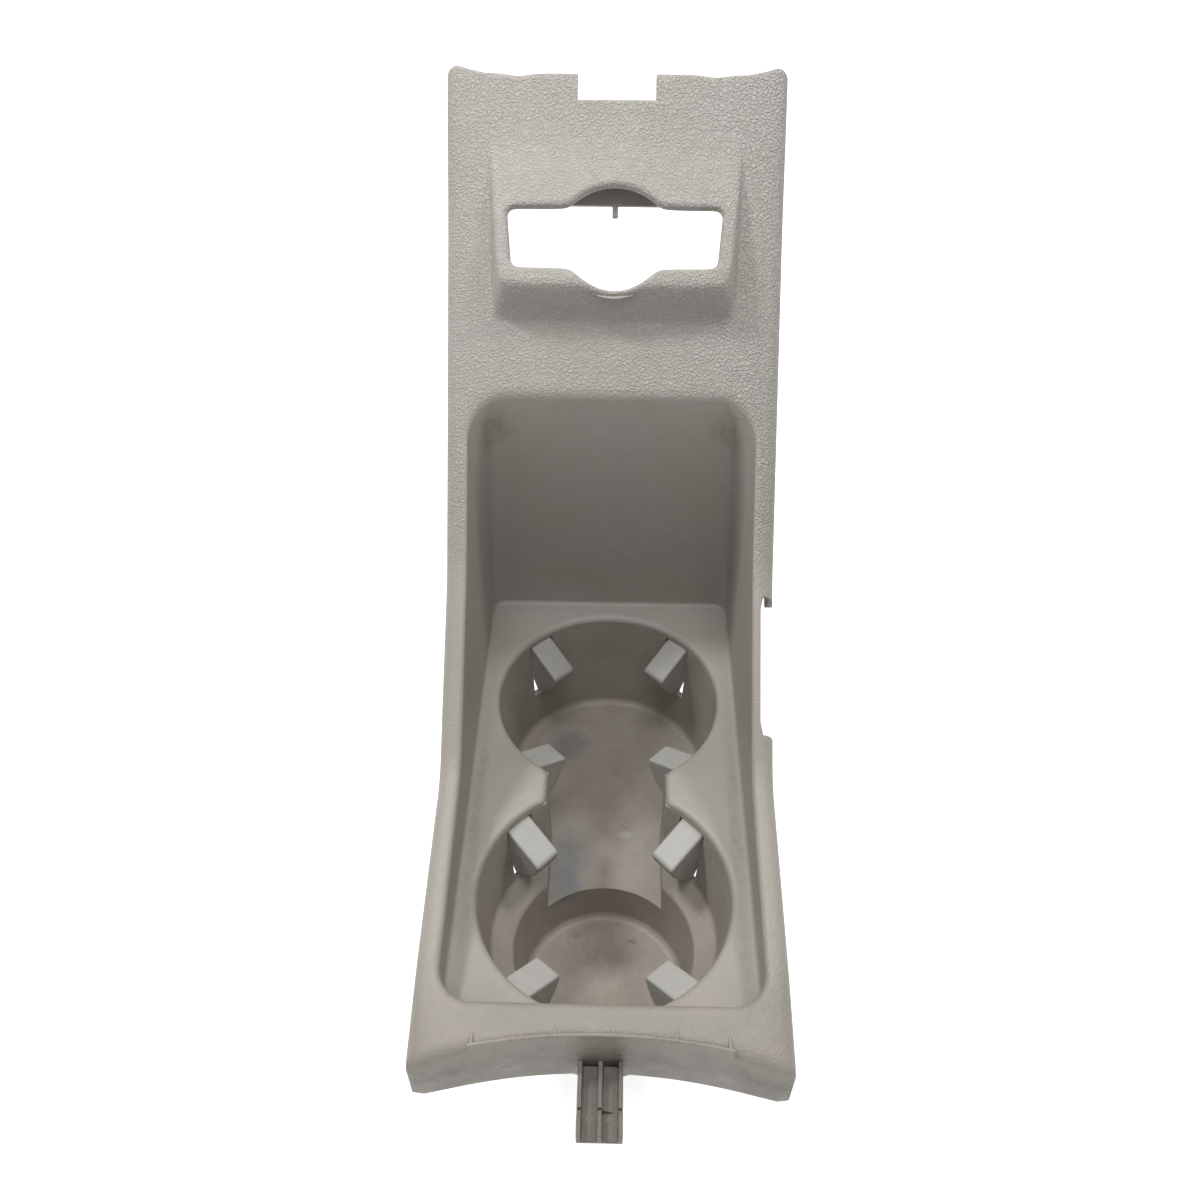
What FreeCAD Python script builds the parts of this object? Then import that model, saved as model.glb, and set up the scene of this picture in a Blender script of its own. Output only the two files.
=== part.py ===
import FreeCAD, Part
import math
import os

import Sketcher

# Cup-holder trim panel of a vehicle console, in millimetres.
# Frame: the origin is the centre of the underside of the can pocket, in the near cup. +X is to the
# right, +Y runs from the near skirt to the top of the ramp, and +Z is up.

V = FreeCAD.Vector
doc = FreeCAD.newDocument("console_cup_holder")
sheet = doc.addObject("Spreadsheet::Sheet", "sizes")

# ---------------------------------------------------------------- driving sizes

SIZES = {
    # trim panel
    "panel_width": 118, "panel_wall": 2.6, "flange_drop": 11, "rim_round": 4,
    "skirt_y": -65, "skirt_low": 58.5, "brow_z": 83.5, "skirt_hollow": 9,
    "knee_y": 31, "knee_z": 98.5, "knee_round": 28,
    "bend_y": 84.2, "bend_z": 145, "bend_round": 90,
    "ramp_length": 176, "ramp_angle": 50.8, "end_hollow": 3,
    # recess and cup plate
    "plate_z": 73.5, "near_margin": 1.5, "far_margin": 9, "recess_half": 51, "recess_top_y": 123.8,
    "recess_corner": 11, "recess_foot": 4,
    # cups, shared by the plate and the tub
    "cup_hole": 44, "cup_pitch": 90, "neck_half": 22.3, "neck_round": 4, "hole_lip": 1.4,
    # tub
    "tub_wall": 2.4, "tub_gap": 0.2, "well_floor": 21.5, "well_foot": 41.2, "ledge_out": 41.3,
    "ledge_out_z": 41.5, "ledge_in": 33.3, "ledge_in_z": 34.5, "pocket_foot": 31.5, "well_round": 3,
    "ledge_round": 2, "slot_deep": 8, "fork_rim": 0.8, "fork_foot": 2, "fork_round": 1.5,
    # grip flaps
    "flap_width": 10.6, "flap_nose": 2, "flap_round": 1, "flap_play": 0.8, "flap_reach": 24.5,
    "flap_slope": 26,
    "pivot_out": 52, "pivot_z": 66.5, "hub_round": 2.8, "flap_tail": 64, "nose_angle": 11,
    "slot_low": 40.5, "slot_high": 69.7,
    "pin_radius": 1.25, "pin_play": 0.05, "fork_wall": 2.2, "fork_play": 0.5, "spring_room": 3.8,
    "spring_wire": 0.6, "spring_coil": 2.2, "spring_pitch": 0.69, "spring_turns": 4, "spring_leg": 6,
    # switch pod
    "pod_low": 87.6, "pod_high": 148, "pod_brow": 101, "pod_rise": 11.5, "pod_half": 41, "pod_round": 5,
    "pod_edge": 2.4,
    "pod_opening_low": 104.8, "pod_opening_high": 125.8, "pod_opening_half": 36,
    "eye_centre": 115.5, "eye_radius": 18, "opening_round": 3,
    "guide_wall": 2, "guide_drop": 7, "guide_lap": 4, "guide_half": 16.2, "peg_long": 4,
    # far notch, side notch
    "notch_half": 13.5, "notch_deep": 10, "notch_round": 1.5, "side_notch_low": 42, "side_notch_high": 79,
    "side_notch_deep": 5.3, "side_notch_round": 5,
    # near lip and tongue
    "lip_half": 40, "lip_wall": 1.2, "lip_rise": 0.6, "lip_rib_deep": 3, "lip_rib_down": 0.2,
    "lip_rib_long": 4,
    "tongue_half": 7, "tongue_end": -78.5, "tongue_top": 68.5, "tongue_deep": 4.2, "tongue_wall": 1.4,
    "tongue_nick_back": 7.5, "tongue_nick_wide": 1.6, "tongue_nick_deep": 1.4,
    # fixings
    "boss_radius": 3.4, "boss_x": 51, "boss_low": 62.9, "ear_wall": 2.4, "ear_rim": 1,
    "screw_radius": 1.4, "screw_play": 0.4, "screw_head": 3.4, "screw_head_wall": 1.6, "screw_length": 8,
    "tab_wall": 2, "tab_wide": 12, "tab_deep": 11, "tab_side": 49.5, "tab_first": 74, "tab_second": 158,
    "clip_wall": 0.7, "clip_wide": 9, "clip_deep": 7, "clip_flare": 1.4,
}

# How far a cutting shape runs past what it cuts, a length that cuts through anything here, and the
# distance under which two places count as one.
PAST, THROUGH, TINY = 5, 100, 1e-3
# Cross ribs of the near lip, as shares of its half width.
LIP_RIBS = (-1, -0.36, 0.1, 0.59, 1)
# The spring's coil ends a quarter turn on, so that its two legs stand square to each other.
QUARTER = 0.25

for line, (alias, number) in enumerate(SIZES.items(), 1):
    sheet.set(f"A{line}", alias.replace("_", " "))
    sheet.set(f"B{line}", str(number))
    sheet.setAlias(f"B{line}", alias)
doc.recompute()


class Size:
    """A number together with the spreadsheet formula that gives it."""

    def __init__(self, value, text):
        self.value = float(value)
        self.text = text

    def __add__(self, other):
        other = size(other)
        return Size(self.value + other.value, f"({self.text} + {other.text})")

    def __sub__(self, other):
        other = size(other)
        return Size(self.value - other.value, f"({self.text} - {other.text})")

    def __mul__(self, other):
        other = size(other)
        return Size(self.value * other.value, f"({self.text} * {other.text})")

    def __truediv__(self, other):
        other = size(other)
        return Size(self.value / other.value, f"({self.text} / {other.text})")

    def __neg__(self):
        return self * -1

    def __radd__(self, other):
        return size(other) + self

    def __rsub__(self, other):
        return size(other) - self

    def __rmul__(self, other):
        return size(other) * self


def size(thing):
    return thing if isinstance(thing, Size) else Size(thing, repr(float(thing)))


def cos(angle):
    angle = size(angle)
    return Size(math.cos(math.radians(angle.value)), f"cos({angle.text})")


def sin(angle):
    angle = size(angle)
    return Size(math.sin(math.radians(angle.value)), f"sin({angle.text})")


def slope_angle(rise):
    """Angle of a slope given as its rise for each unit along."""
    rise = size(rise)
    return Size(math.degrees(math.atan(rise.value)), f"(atan({rise.text}) / (1 deg))")


def root(square):
    square = size(square)
    return Size(math.sqrt(square.value), f"sqrt({square.text})")


class Sheet:
    """Gives each alias of the sheet as an attribute, such as S.cup_hole."""

    def __getattr__(self, alias):
        return Size(getattr(sheet, alias), f"sizes.{alias}")


S = Sheet()

# ---------------------------------------------------------------- modelling helpers


def bind(thing, **formulas):
    """Bind properties to the sheet. A double underscore stands for a dot in the property's path."""
    for path, formula in formulas.items():
        thing.setExpression(path.replace("__", "."), size(formula).text)


def new_body(label):
    body = doc.addObject("PartDesign::Body", label)
    body.Label = label
    return body


def new_sketch(body, name, plane, across=0, up=0, out=0, turn=None):
    """A sketch on one of the body's origin planes, moved along the plane's own axes."""
    sketch = body.newObject("Sketcher::SketchObject", name)
    support = next(f for f in body.Origin.OriginFeatures if f.Role == plane)
    sketch.AttachmentSupport = (support, [""])
    sketch.MapMode = "FlatFace"
    if turn:
        sketch.AttachmentOffset = FreeCAD.Placement(V(), FreeCAD.Rotation(*turn))
    bind(sketch, AttachmentOffset__Base__x=across, AttachmentOffset__Base__y=up,
         AttachmentOffset__Base__z=out)
    return sketch


def pin_point(sketch, geometry, place, x, y):
    """Hold one point of a sketch at x, y from the sketch's own origin."""
    for kind, formula in (("DistanceX", size(x)), ("DistanceY", size(y))):
        index = sketch.addConstraint(Sketcher.Constraint(kind, -1, 1, geometry, place, formula.value))
        sketch.setExpression(f"Constraints[{index}]", formula.text)


def outline(sketch, corners):
    """Close a polygon through corners (across, up[, radius]); a radius gives its corner a tangent arc."""
    count = len(corners)
    spots = [V(size(c[0]).value, size(c[1]).value, 0) for c in corners]
    ways = [(spots[(i + 1) % count] - spots[i]).normalize() for i in range(count)]
    trims = []
    for i, corner in enumerate(corners):
        radius = size(corner[2]).value if len(corner) > 2 else 0
        turn = ways[i - 1].getAngle(ways[i])
        trims.append(radius * math.tan(turn / 2))
    lines = []
    for i in range(count):
        start = spots[i] + ways[i] * trims[i]
        finish = spots[(i + 1) % count] - ways[i] * trims[(i + 1) % count]
        lines.append(sketch.addGeometry(Part.LineSegment(start, finish), False))
    for i, corner in enumerate(corners):
        before, after = lines[i - 1], lines[i]
        if not trims[i]:
            sketch.addConstraint(Sketcher.Constraint("Coincident", before, 2, after, 1))
            pin_point(sketch, after, 1, corner[0], corner[1])
            continue
        radius = size(corner[2])
        left = ways[i - 1].cross(ways[i]).z > 0
        inward = V(0, 0, 1 if left else -1).cross(ways[i - 1])
        centre = spots[i] - ways[i - 1] * trims[i] + inward * radius.value
        ends = [spots[i] - ways[i - 1] * trims[i], spots[i] + ways[i] * trims[i]]
        first, last = [math.atan2(e.y - centre.y, e.x - centre.x) for e in (ends if left else ends[::-1])]
        circle = Part.Circle(centre, V(0, 0, 1), radius.value)
        arc = sketch.addGeometry(Part.ArcOfCircle(circle, first, last), False)
        sketch.addConstraint(Sketcher.Constraint("Tangent", before, 2, arc, 1 if left else 2))
        sketch.addConstraint(Sketcher.Constraint("Tangent", arc, 2 if left else 1, after, 1))
        index = sketch.addConstraint(Sketcher.Constraint("Radius", arc, radius.value))
        sketch.setExpression(f"Constraints[{index}]", radius.text)
        point = sketch.addGeometry(Part.Point(spots[i]), True)
        pin_point(sketch, point, 1, corner[0], corner[1])
        sketch.addConstraint(Sketcher.Constraint("PointOnObject", point, 1, before))
        sketch.addConstraint(Sketcher.Constraint("PointOnObject", point, 1, after))
    return sketch


def circle(sketch, x, y, radius):
    radius = size(radius)
    centre = V(size(x).value, size(y).value, 0)
    ring = sketch.addGeometry(Part.Circle(centre, V(0, 0, 1), radius.value), False)
    pin_point(sketch, ring, 3, x, y)
    index = sketch.addConstraint(Sketcher.Constraint("Radius", ring, radius.value))
    sketch.setExpression(f"Constraints[{index}]", radius.text)
    return sketch


def extrude(body, kind, sketch, length, both=False, back=False):
    """Pad or Pocket a sketch, to one side or half to each side, and check that the volume changed."""
    before = body.Shape.Volume if body.Tip else 0
    feature = body.newObject(f"PartDesign::{kind}", f"{sketch.Name}_{kind.lower()}")
    feature.Profile = sketch
    feature.SideType = "Symmetric" if both else "One side"
    feature.Reversed = back
    bind(feature, Length=length)
    doc.recompute()
    change = body.Shape.Volume - before
    if (change <= 0) == (kind == "Pad") or abs(change) < TINY:
        raise RuntimeError(f"{feature.Name} changes the volume by {change:.3f}")
    return feature


def spin(body, kind, sketch):
    """Revolution or Groove of a sketch, a full turn about the sketch's own vertical axis."""
    before = body.Shape.Volume if body.Tip else 0
    feature = body.newObject(f"PartDesign::{kind}", f"{sketch.Name}_{kind.lower()}")
    feature.Profile = sketch
    feature.ReferenceAxis = (sketch, ["V_Axis"])
    doc.recompute()
    change = body.Shape.Volume - before
    if (change <= 0) == (kind == "Revolution"):
        raise RuntimeError(f"{feature.Name} changes the volume by {change:.3f}")
    return feature


def soften(body, name, kind, amount, wanted):
    """Fillet or Chamfer the edges of the tip that a test picks out by their shape and place."""
    base = body.Tip
    names = [f"Edge{i}" for i, edge in enumerate(base.Shape.Edges, 1) if wanted(edge)]
    if not names:
        raise RuntimeError(f"{name} finds no edge")
    feature = body.newObject(f"PartDesign::{kind}", name)
    feature.Base = (base, names)
    bind(feature, **{"Radius" if kind == "Fillet" else "Size": amount})
    doc.recompute()
    if "Invalid" in feature.State or not feature.Shape.isValid():
        raise RuntimeError(f"{name} fails on {len(names)} edges")
    return feature


# ---------------------------------------------------------------- places that pieces share

ramp_y = S.bend_y
ramp_z = S.bend_z


def on_ramp(along, rise=0):
    """Y and Z of a point at a distance up the ramp and a rise square to it."""
    rise = size(rise)
    return (ramp_y + along * cos(S.ramp_angle) - rise * sin(S.ramp_angle),
            ramp_z + along * sin(S.ramp_angle) + rise * cos(S.ramp_angle))


plate_under = S.plate_z - S.panel_wall
end_y, end_z = on_ramp(S.ramp_length)
panel_half = S.panel_width / 2
deck_slope = (S.knee_z - S.brow_z) / (S.knee_y - S.skirt_y)
middle_slope = (S.bend_z - S.knee_z) / (S.bend_y - S.knee_y)
recess_near = -(S.cup_hole + S.near_margin)
recess_far = S.cup_pitch + S.cup_hole + S.far_margin
skirt_radius = (panel_half * panel_half + S.skirt_hollow * S.skirt_hollow) / (2 * S.skirt_hollow)
skirt_axis = S.skirt_y + S.skirt_hollow - skirt_radius
tub_top = plate_under - S.tub_gap
flap_half = S.flap_width / 2
flap_top = S.pivot_z + S.hub_round
fork_half = flap_half + S.spring_room + S.fork_wall

# Each clip tab: its side of the panel, and how far up the ramp it starts.
TABS = [(f"{'left' if side < 0 else 'right'}_{place}", side, along) for side in (-1, 1)
        for place, along in (("lower", S.tab_first), ("upper", S.tab_second))]
CUPS = {"near": Size(0, "0"), "far": S.cup_pitch}
# Each flap: its cup, and its bearing round the cup's axis from +X, in degrees.
FLAPS = {
    "far_cup_far_left": ("far", 132), "far_cup_far_right": ("far", 48),
    "far_cup_near_left": ("far", -135), "far_cup_near_right": ("far", -45),
    "near_cup_far_left": ("near", 137), "near_cup_far_right": ("near", 43),
    "near_cup_near_left": ("near", -130), "near_cup_near_right": ("near", -50),
}


def deck_at(y):
    """Height of the near deck's top line at a given Y."""
    return S.brow_z + (y - S.skirt_y) * deck_slope


def ramp_at(y):
    """Height of the upper ramp's top line at a given Y."""
    return S.bend_z + (y - S.bend_y) * sin(S.ramp_angle) / cos(S.ramp_angle)


def lowered(drop_deck, drop_knee, drop_bend, drop_end):
    """The four corners of the panel's side outline, each lowered, from the top end to the near end."""
    return [(end_y, end_z - drop_end), (S.bend_y, S.bend_z - drop_bend, S.bend_round),
            (S.knee_y, S.knee_z - drop_knee, S.knee_round), (S.skirt_y, S.brow_z - drop_deck)]


def arc_of(chord_half, radius):
    """Full angle that a chord takes up on a circle, in degrees."""
    share = size(chord_half) / radius
    return Size(2 * math.degrees(math.asin(share.value)), f"(2 * asin({share.text}))")


def spin_part(body, sketch, angle, kind="Revolution"):
    """A revolution of less than a full turn, centred on its sketch."""
    before = body.Shape.Volume
    feature = body.newObject(f"PartDesign::{kind}", f"{sketch.Name}_{kind.lower()}")
    feature.Profile = sketch
    feature.ReferenceAxis = (sketch, ["V_Axis"])
    feature.Midplane = True
    bind(feature, Angle=angle)
    doc.recompute()
    if (body.Shape.Volume - before <= 0) == (kind == "Revolution"):
        raise RuntimeError(f"{feature.Name} does not change the volume as it should")
    return feature


# ---------------------------------------------------------------- trim panel


def panel_shell(body):
    """The bent sheet with its side flanges, hollow below, and the curved skirt at the near end."""
    side = new_sketch(body, "panel_side", "YZ_Plane")
    outline(side, lowered(0, 0, 0, 0) + lowered(*[S.flange_drop] * 4)[::-1])
    extrude(body, "Pad", side, S.panel_width, both=True)
    rims = panel_half.value - TINY
    soften(body, "rim_round", "Fillet", S.rim_round,
           lambda e: abs(e.CenterOfMass.x) > rims and is_top_line(e))
    hollow = new_sketch(body, "panel_hollow", "YZ_Plane")
    wall = S.panel_wall
    middle = slope_angle(middle_slope)
    top = lowered(wall, wall / cos((slope_angle(deck_slope) + middle) / 2),
                  wall / cos((middle + S.ramp_angle) / 2), wall / cos(S.ramp_angle))
    low = lowered(*[S.flange_drop * 2] * 4)
    climb = PAST * sin(S.ramp_angle) / cos(S.ramp_angle)
    outline(hollow, [(end_y + PAST, top[0][1] + climb), *top[1:3],
                     (S.skirt_y - PAST, top[3][1] - PAST * deck_slope), (S.skirt_y - PAST, low[3][1]),
                     *low[1:3][::-1], (end_y + PAST, low[0][1])])
    extrude(body, "Pocket", hollow, S.panel_width - 2 * wall, both=True)
    front = new_sketch(body, "skirt_front", "XY_Plane", out=S.skirt_low)
    circle(front, 0, skirt_axis, skirt_radius)
    extrude(body, "Pocket", front, THROUGH, back=True)
    wall_ring = new_sketch(body, "skirt_wall", "YZ_Plane", across=skirt_axis)
    ring(wall_ring, skirt_radius, skirt_radius + wall, S.skirt_low, S.brow_z - wall / 2)
    spin_part(body, wall_ring, arc_of(panel_half, skirt_radius + wall))


def ring(sketch, inner, outer, low, high):
    """A rectangle to be turned about the sketch's vertical axis."""
    return outline(sketch, [(inner, low), (outer, low), (outer, high), (inner, high)])


def is_top_line(edge):
    """True for an edge that runs along the panel's top outline rather than along its lower one."""
    middle = edge.CenterOfMass
    if edge.BoundBox.YLength < 1:
        return False
    return middle.z > outline_height(middle.y) - S.flange_drop.value / 2


def outline_height(y):
    """Height of the panel's top outline, as a plain number, ignoring the round at each bend."""
    knots = [(S.skirt_y.value, S.brow_z.value), (S.knee_y.value, S.knee_z.value),
             (S.bend_y.value, S.bend_z.value), (end_y.value, end_z.value)]
    for (y0, z0), (y1, z1) in zip(knots, knots[1:]):
        if y <= y1:
            return z0 + (y - y0) * (z1 - z0) / (y1 - y0)
    return knots[-1][1]


def recess(body):
    """The open-topped box let into the panel, whose floor is the cup plate."""
    wall = S.panel_wall
    sunk = wall / 2
    back = S.recess_top_y + wall
    box = new_sketch(body, "recess_box", "YZ_Plane")
    outline(box, [(recess_near - wall, plate_under), (recess_far + wall, plate_under),
                  (back, ramp_at(back) - wall), (S.bend_y, S.bend_z - wall),
                  (S.knee_y, S.knee_z - sunk), (recess_near - wall, deck_at(recess_near) - sunk)])
    extrude(body, "Pad", box, 2 * (S.recess_half + wall), both=True)
    lean = (recess_far - S.recess_top_y) / (ramp_at(S.recess_top_y) - S.plate_z)
    above = THROUGH / 2
    cavity = new_sketch(body, "recess_cavity", "YZ_Plane")
    outline(cavity, [(recess_near, S.plate_z), (recess_far, S.plate_z),
                     (S.recess_top_y - above * lean, ramp_at(S.recess_top_y) + above),
                     (recess_near, ramp_at(S.recess_top_y) + above)])
    extrude(body, "Pocket", cavity, 2 * S.recess_half, both=True)
    half = S.recess_half.value
    plate = S.plate_z.value
    soften(body, "recess_corners", "Fillet", S.recess_corner,
           lambda e: abs(abs(e.CenterOfMass.x) - half) < TINY
           and e.BoundBox.ZMin < plate + TINY and e.BoundBox.ZMax > plate + S.recess_foot.value)
    soften(body, "recess_foot", "Fillet", S.recess_foot,
           lambda e: e.BoundBox.ZLength < TINY and abs(e.CenterOfMass.z - plate) < TINY)


def cup_hole(body):
    """Two round holes in the plate, joined by a neck whose corners are rounded."""
    for cup, y in CUPS.items():
        hole = new_sketch(body, f"hole_{cup}", "XY_Plane", out=S.plate_z + S.recess_foot)
        circle(hole, 0, y, S.cup_hole)
        extrude(body, "Pocket", hole, S.recess_foot + S.panel_wall * 2)
    neck = new_sketch(body, "hole_neck", "XY_Plane", out=S.plate_z)
    middle = S.cup_pitch / 2
    reach = middle - root(S.cup_hole * S.cup_hole - S.neck_half * S.neck_half) + S.neck_round
    outline(neck, [(-S.neck_half, middle - reach), (S.neck_half, middle - reach),
                   (S.neck_half, middle + reach), (-S.neck_half, middle + reach)])
    extrude(body, "Pocket", neck, S.panel_wall * 2)
    neck_x = S.neck_half.value
    wall = S.panel_wall.value
    soften(body, "neck_corners", "Fillet", S.neck_round,
           lambda e: abs(abs(e.CenterOfMass.x) - neck_x) < TINY and abs(e.BoundBox.ZLength - wall) < TINY
           and e.BoundBox.XLength < TINY)
    top = S.plate_z.value
    soften(body, "hole_lip", "Fillet", S.hole_lip,
           lambda e: e.BoundBox.ZLength < TINY and abs(e.CenterOfMass.z - top) < TINY
           and all(in_cup_hole(v.Point) for v in e.Vertexes))


def in_cup_hole(point):
    """True for a point on or inside the 8-shaped hole, seen from above."""
    gaps = [math.hypot(point.x, point.y - y.value) for y in CUPS.values()]
    between = CUPS["near"].value < point.y < CUPS["far"].value
    in_neck = between and abs(point.x) < S.neck_half.value + S.neck_round.value
    return min(gaps) < S.cup_hole.value + TINY or in_neck


def tilted(body, name, angle, y, z):
    """A sketch whose plane leans back about X, with its origin at X 0 and the given Y and Z."""
    sketch = new_sketch(body, name, "XY_Plane", up=y, out=z, turn=(V(1, 0, 0), 1))
    bind(sketch, AttachmentOffset__Rotation__Angle=angle)
    return sketch


def plain(spot):
    """A place in Y and Z as a plain vector, for picking edges."""
    return V(0, spot[0].value, spot[1].value)


def at_pod_top(edge):
    """True for the line where the pod's face runs out into the ramp."""
    top = plain(on_ramp(S.pod_high))
    return all(math.hypot(v.Point.y - top.y, v.Point.z - top.z) < TINY for v in edge.Vertexes)


def pod(body):
    """The raised hollow pod on the ramp, with its through opening and the guide behind it."""
    wall = S.panel_wall
    rise = S.pod_rise
    fall = rise / (S.pod_high - S.pod_brow)
    face_angle = S.ramp_angle - slope_angle(fall)
    skin = new_sketch(body, "pod_side", "YZ_Plane")
    outline(skin, [on_ramp(S.pod_low, -wall / 2), on_ramp(S.pod_high, -wall / 2), on_ramp(S.pod_high),
                   on_ramp(S.pod_brow, rise), on_ramp(S.pod_low)])
    extrude(body, "Pad", skin, 2 * S.pod_half, both=True)
    side, foot, top = S.pod_half.value, plain(on_ramp(S.pod_low)), plain(on_ramp(S.pod_brow, rise))
    corner = (foot + top) / 2
    soften(body, "pod_corners", "Fillet", S.pod_round,
           lambda e: abs(abs(e.CenterOfMass.x) - side) < TINY
           and math.hypot(e.CenterOfMass.y - corner.y, e.CenterOfMass.z - corner.z) < 1)
    tilt = math.radians(face_angle.value)
    normal = V(0, -math.sin(tilt), math.cos(tilt))
    soften(body, "pod_brow", "Fillet", S.pod_edge,
           lambda e: all(abs((v.Point - top).dot(normal)) < TINY for v in e.Vertexes)
           and abs((e.CenterOfMass - top).dot(normal)) < TINY and e.CenterOfMass.z > foot.z
           and not at_pod_top(e) and e.BoundBox.YLength < S.eye_radius.value)
    eye_rise = rise - (S.eye_centre - S.pod_brow) * fall
    eye_y, eye_z = on_ramp(S.eye_centre, eye_rise)
    lobe = tilted(body, "pod_lobe", face_angle, eye_y, eye_z)
    circle(lobe, 0, 0, S.eye_radius + wall)
    extrude(body, "Pad", lobe, eye_rise + wall, back=True)
    hollow = new_sketch(body, "pod_hollow", "YZ_Plane")
    outline(hollow, [on_ramp(S.pod_low + wall, -wall * 3), on_ramp(S.pod_high, -wall * 3),
                     on_ramp(S.pod_high, -wall), on_ramp(S.pod_brow + wall / 2, rise - wall),
                     on_ramp(S.pod_low + wall, -wall / 2)])
    extrude(body, "Pocket", hollow, 2 * (S.pod_half - wall), both=True)
    slot = tilted(body, "pod_slot", face_angle, eye_y, eye_z)
    stretch = size(1) / cos(S.ramp_angle - face_angle)
    low = (S.pod_opening_low - S.eye_centre) * stretch
    high = (S.pod_opening_high - S.eye_centre) * stretch
    wide = S.pod_opening_half
    outline(slot, [(-wide, low, S.opening_round), (wide, low, S.opening_round),
                   (wide, high, S.opening_round), (-wide, high, S.opening_round)])
    extrude(body, "Pocket", slot, THROUGH / 3, both=True)
    eye = tilted(body, "pod_eye", face_angle, eye_y, eye_z)
    circle(eye, 0, 0, S.eye_radius)
    extrude(body, "Pocket", eye, THROUGH / 3, both=True)
    guide = new_sketch(body, "guide", "YZ_Plane")
    arm = S.guide_wall
    deep = -S.guide_drop
    reach = S.eye_centre + S.eye_radius - S.guide_lap
    outline(guide, [on_ramp(reach, deep - arm), on_ramp(S.pod_high + arm, deep - arm),
                    on_ramp(S.pod_high + arm, -wall / 2), on_ramp(S.pod_high, -wall / 2),
                    on_ramp(S.pod_high, deep), on_ramp(reach, deep)])
    extrude(body, "Pad", guide, 2 * S.guide_half, both=True)
    peg = new_sketch(body, "guide_peg", "YZ_Plane")
    outline(peg, [on_ramp(reach - S.peg_long, deep - arm), on_ramp(reach + arm / 2, deep - arm),
                  on_ramp(reach + arm / 2, deep), on_ramp(reach - S.peg_long, deep)])
    extrude(body, "Pad", peg, arm, both=True)


def end_and_side_cuts(body):
    """The hollowed top end with its notch, and the long notch in the right side."""
    sag = S.end_hollow
    radius = (panel_half * panel_half + sag * sag) / (2 * sag)
    end = tilted(body, "end_curve", S.ramp_angle, end_y, end_z)
    circle(end, 0, radius - sag, radius)
    extrude(body, "Pocket", end, THROUGH, both=True)
    notch = tilted(body, "end_notch", S.ramp_angle, end_y, end_z)
    low = -(sag + S.notch_deep)
    wide = S.notch_half
    outline(notch, [(-wide, low, S.notch_round), (wide, low, S.notch_round), (wide, PAST), (-wide, PAST)])
    extrude(body, "Pocket", notch, THROUGH / 2, both=True)
    side = new_sketch(body, "side_notch", "XY_Plane", out=S.plate_z)
    inner = panel_half - S.side_notch_deep
    corner = S.side_notch_round
    outline(side, [(inner, S.side_notch_low, corner), (panel_half + PAST, S.side_notch_low),
                   (panel_half + PAST, S.side_notch_high), (inner, S.side_notch_high, corner)])
    extrude(body, "Pocket", side, THROUGH, back=True)


def lip_and_tongue(body):
    """The thin lip with its cross ribs on top of the skirt, and the grooved tongue that slides home."""
    lip_top = deck_at(skirt_axis + skirt_radius) + S.lip_rise
    lip = new_sketch(body, "lip", "YZ_Plane", across=skirt_axis)
    ring(lip, skirt_radius, skirt_radius + S.lip_wall, S.brow_z - S.rim_round - S.lip_wall, lip_top)
    spin_part(body, lip, arc_of(S.lip_half, skirt_radius))
    for number, share in enumerate(LIP_RIBS, 1):
        x = share * (S.lip_half - S.lip_wall)
        rib = new_sketch(body, f"lip_rib_{number}", "XY_Plane", out=lip_top - S.lip_rib_deep)
        y = skirt_axis + root(skirt_radius * skirt_radius - x * x) + S.lip_wall / 2
        wide = S.lip_wall / 2
        outline(rib, [(x - wide, y), (x + wide, y), (x + wide, y + S.lip_rib_long),
                      (x - wide, y + S.lip_rib_long)])
        extrude(body, "Pad", rib, S.lip_rib_deep - S.lip_rib_down)
    near = skirt_axis + skirt_radius
    tongue = new_sketch(body, "tongue", "XZ_Plane", out=-(near + S.panel_wall / 2))
    half, wall, top = S.tongue_half, S.tongue_wall, S.tongue_top
    floor = top - S.tongue_deep
    outline(tongue, [(-half, floor - wall), (half, floor - wall), (half, top), (half - wall, top),
                     (half - wall, floor), (wall / 2, floor), (wall / 2, top), (-wall / 2, top),
                     (-wall / 2, floor), (wall - half, floor), (wall - half, top), (-half, top)])
    extrude(body, "Pad", tongue, near + S.panel_wall / 2 - S.tongue_end)
    nick = new_sketch(body, "tongue_nick", "XY_Plane", out=top - S.tongue_nick_deep)
    middle = S.tongue_end + S.tongue_nick_back
    wide = S.tongue_nick_wide / 2
    outline(nick, [(-half, middle - wide), (half, middle - wide), (half, middle + wide),
                   (-half, middle + wide)])
    extrude(body, "Pocket", nick, S.tongue_nick_deep, back=True)


def fixings_below(body):
    """Screw bosses beside the cups, and the tabs under the ramp that the sheet-metal clips grip."""
    for side in (-1, 1):
        for cup, y in CUPS.items():
            boss = new_sketch(body, f"boss_{cup}_{'l' if side < 0 else 'r'}", "XY_Plane", out=S.boss_low)
            circle(boss, side * S.boss_x, y, S.boss_radius)
            extrude(body, "Pad", boss, plate_under - S.boss_low + S.panel_wall / 2)
            pilot = new_sketch(body, f"pilot_{cup}_{'l' if side < 0 else 'r'}", "XY_Plane", out=S.boss_low)
            circle(pilot, side * S.boss_x, y, S.screw_radius)
            extrude(body, "Pocket", pilot, S.screw_length - S.ear_wall, back=True)
    for name, side, along in TABS:
        y, z = on_ramp(along)
        tab = tilted(body, f"tab_{name}", S.ramp_angle, y, z)
        middle, wide = side * S.tab_side, S.tab_wall / 2
        outline(tab, [(middle - wide, 0), (middle + wide, 0), (middle + wide, S.tab_wide),
                      (middle - wide, S.tab_wide)])
        bind(tab, AttachmentOffset__Base__z=z - S.panel_wall / 2 * cos(S.ramp_angle),
             AttachmentOffset__Base__y=y + S.panel_wall / 2 * sin(S.ramp_angle))
        extrude(body, "Pad", tab, S.tab_deep, back=True)


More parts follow.
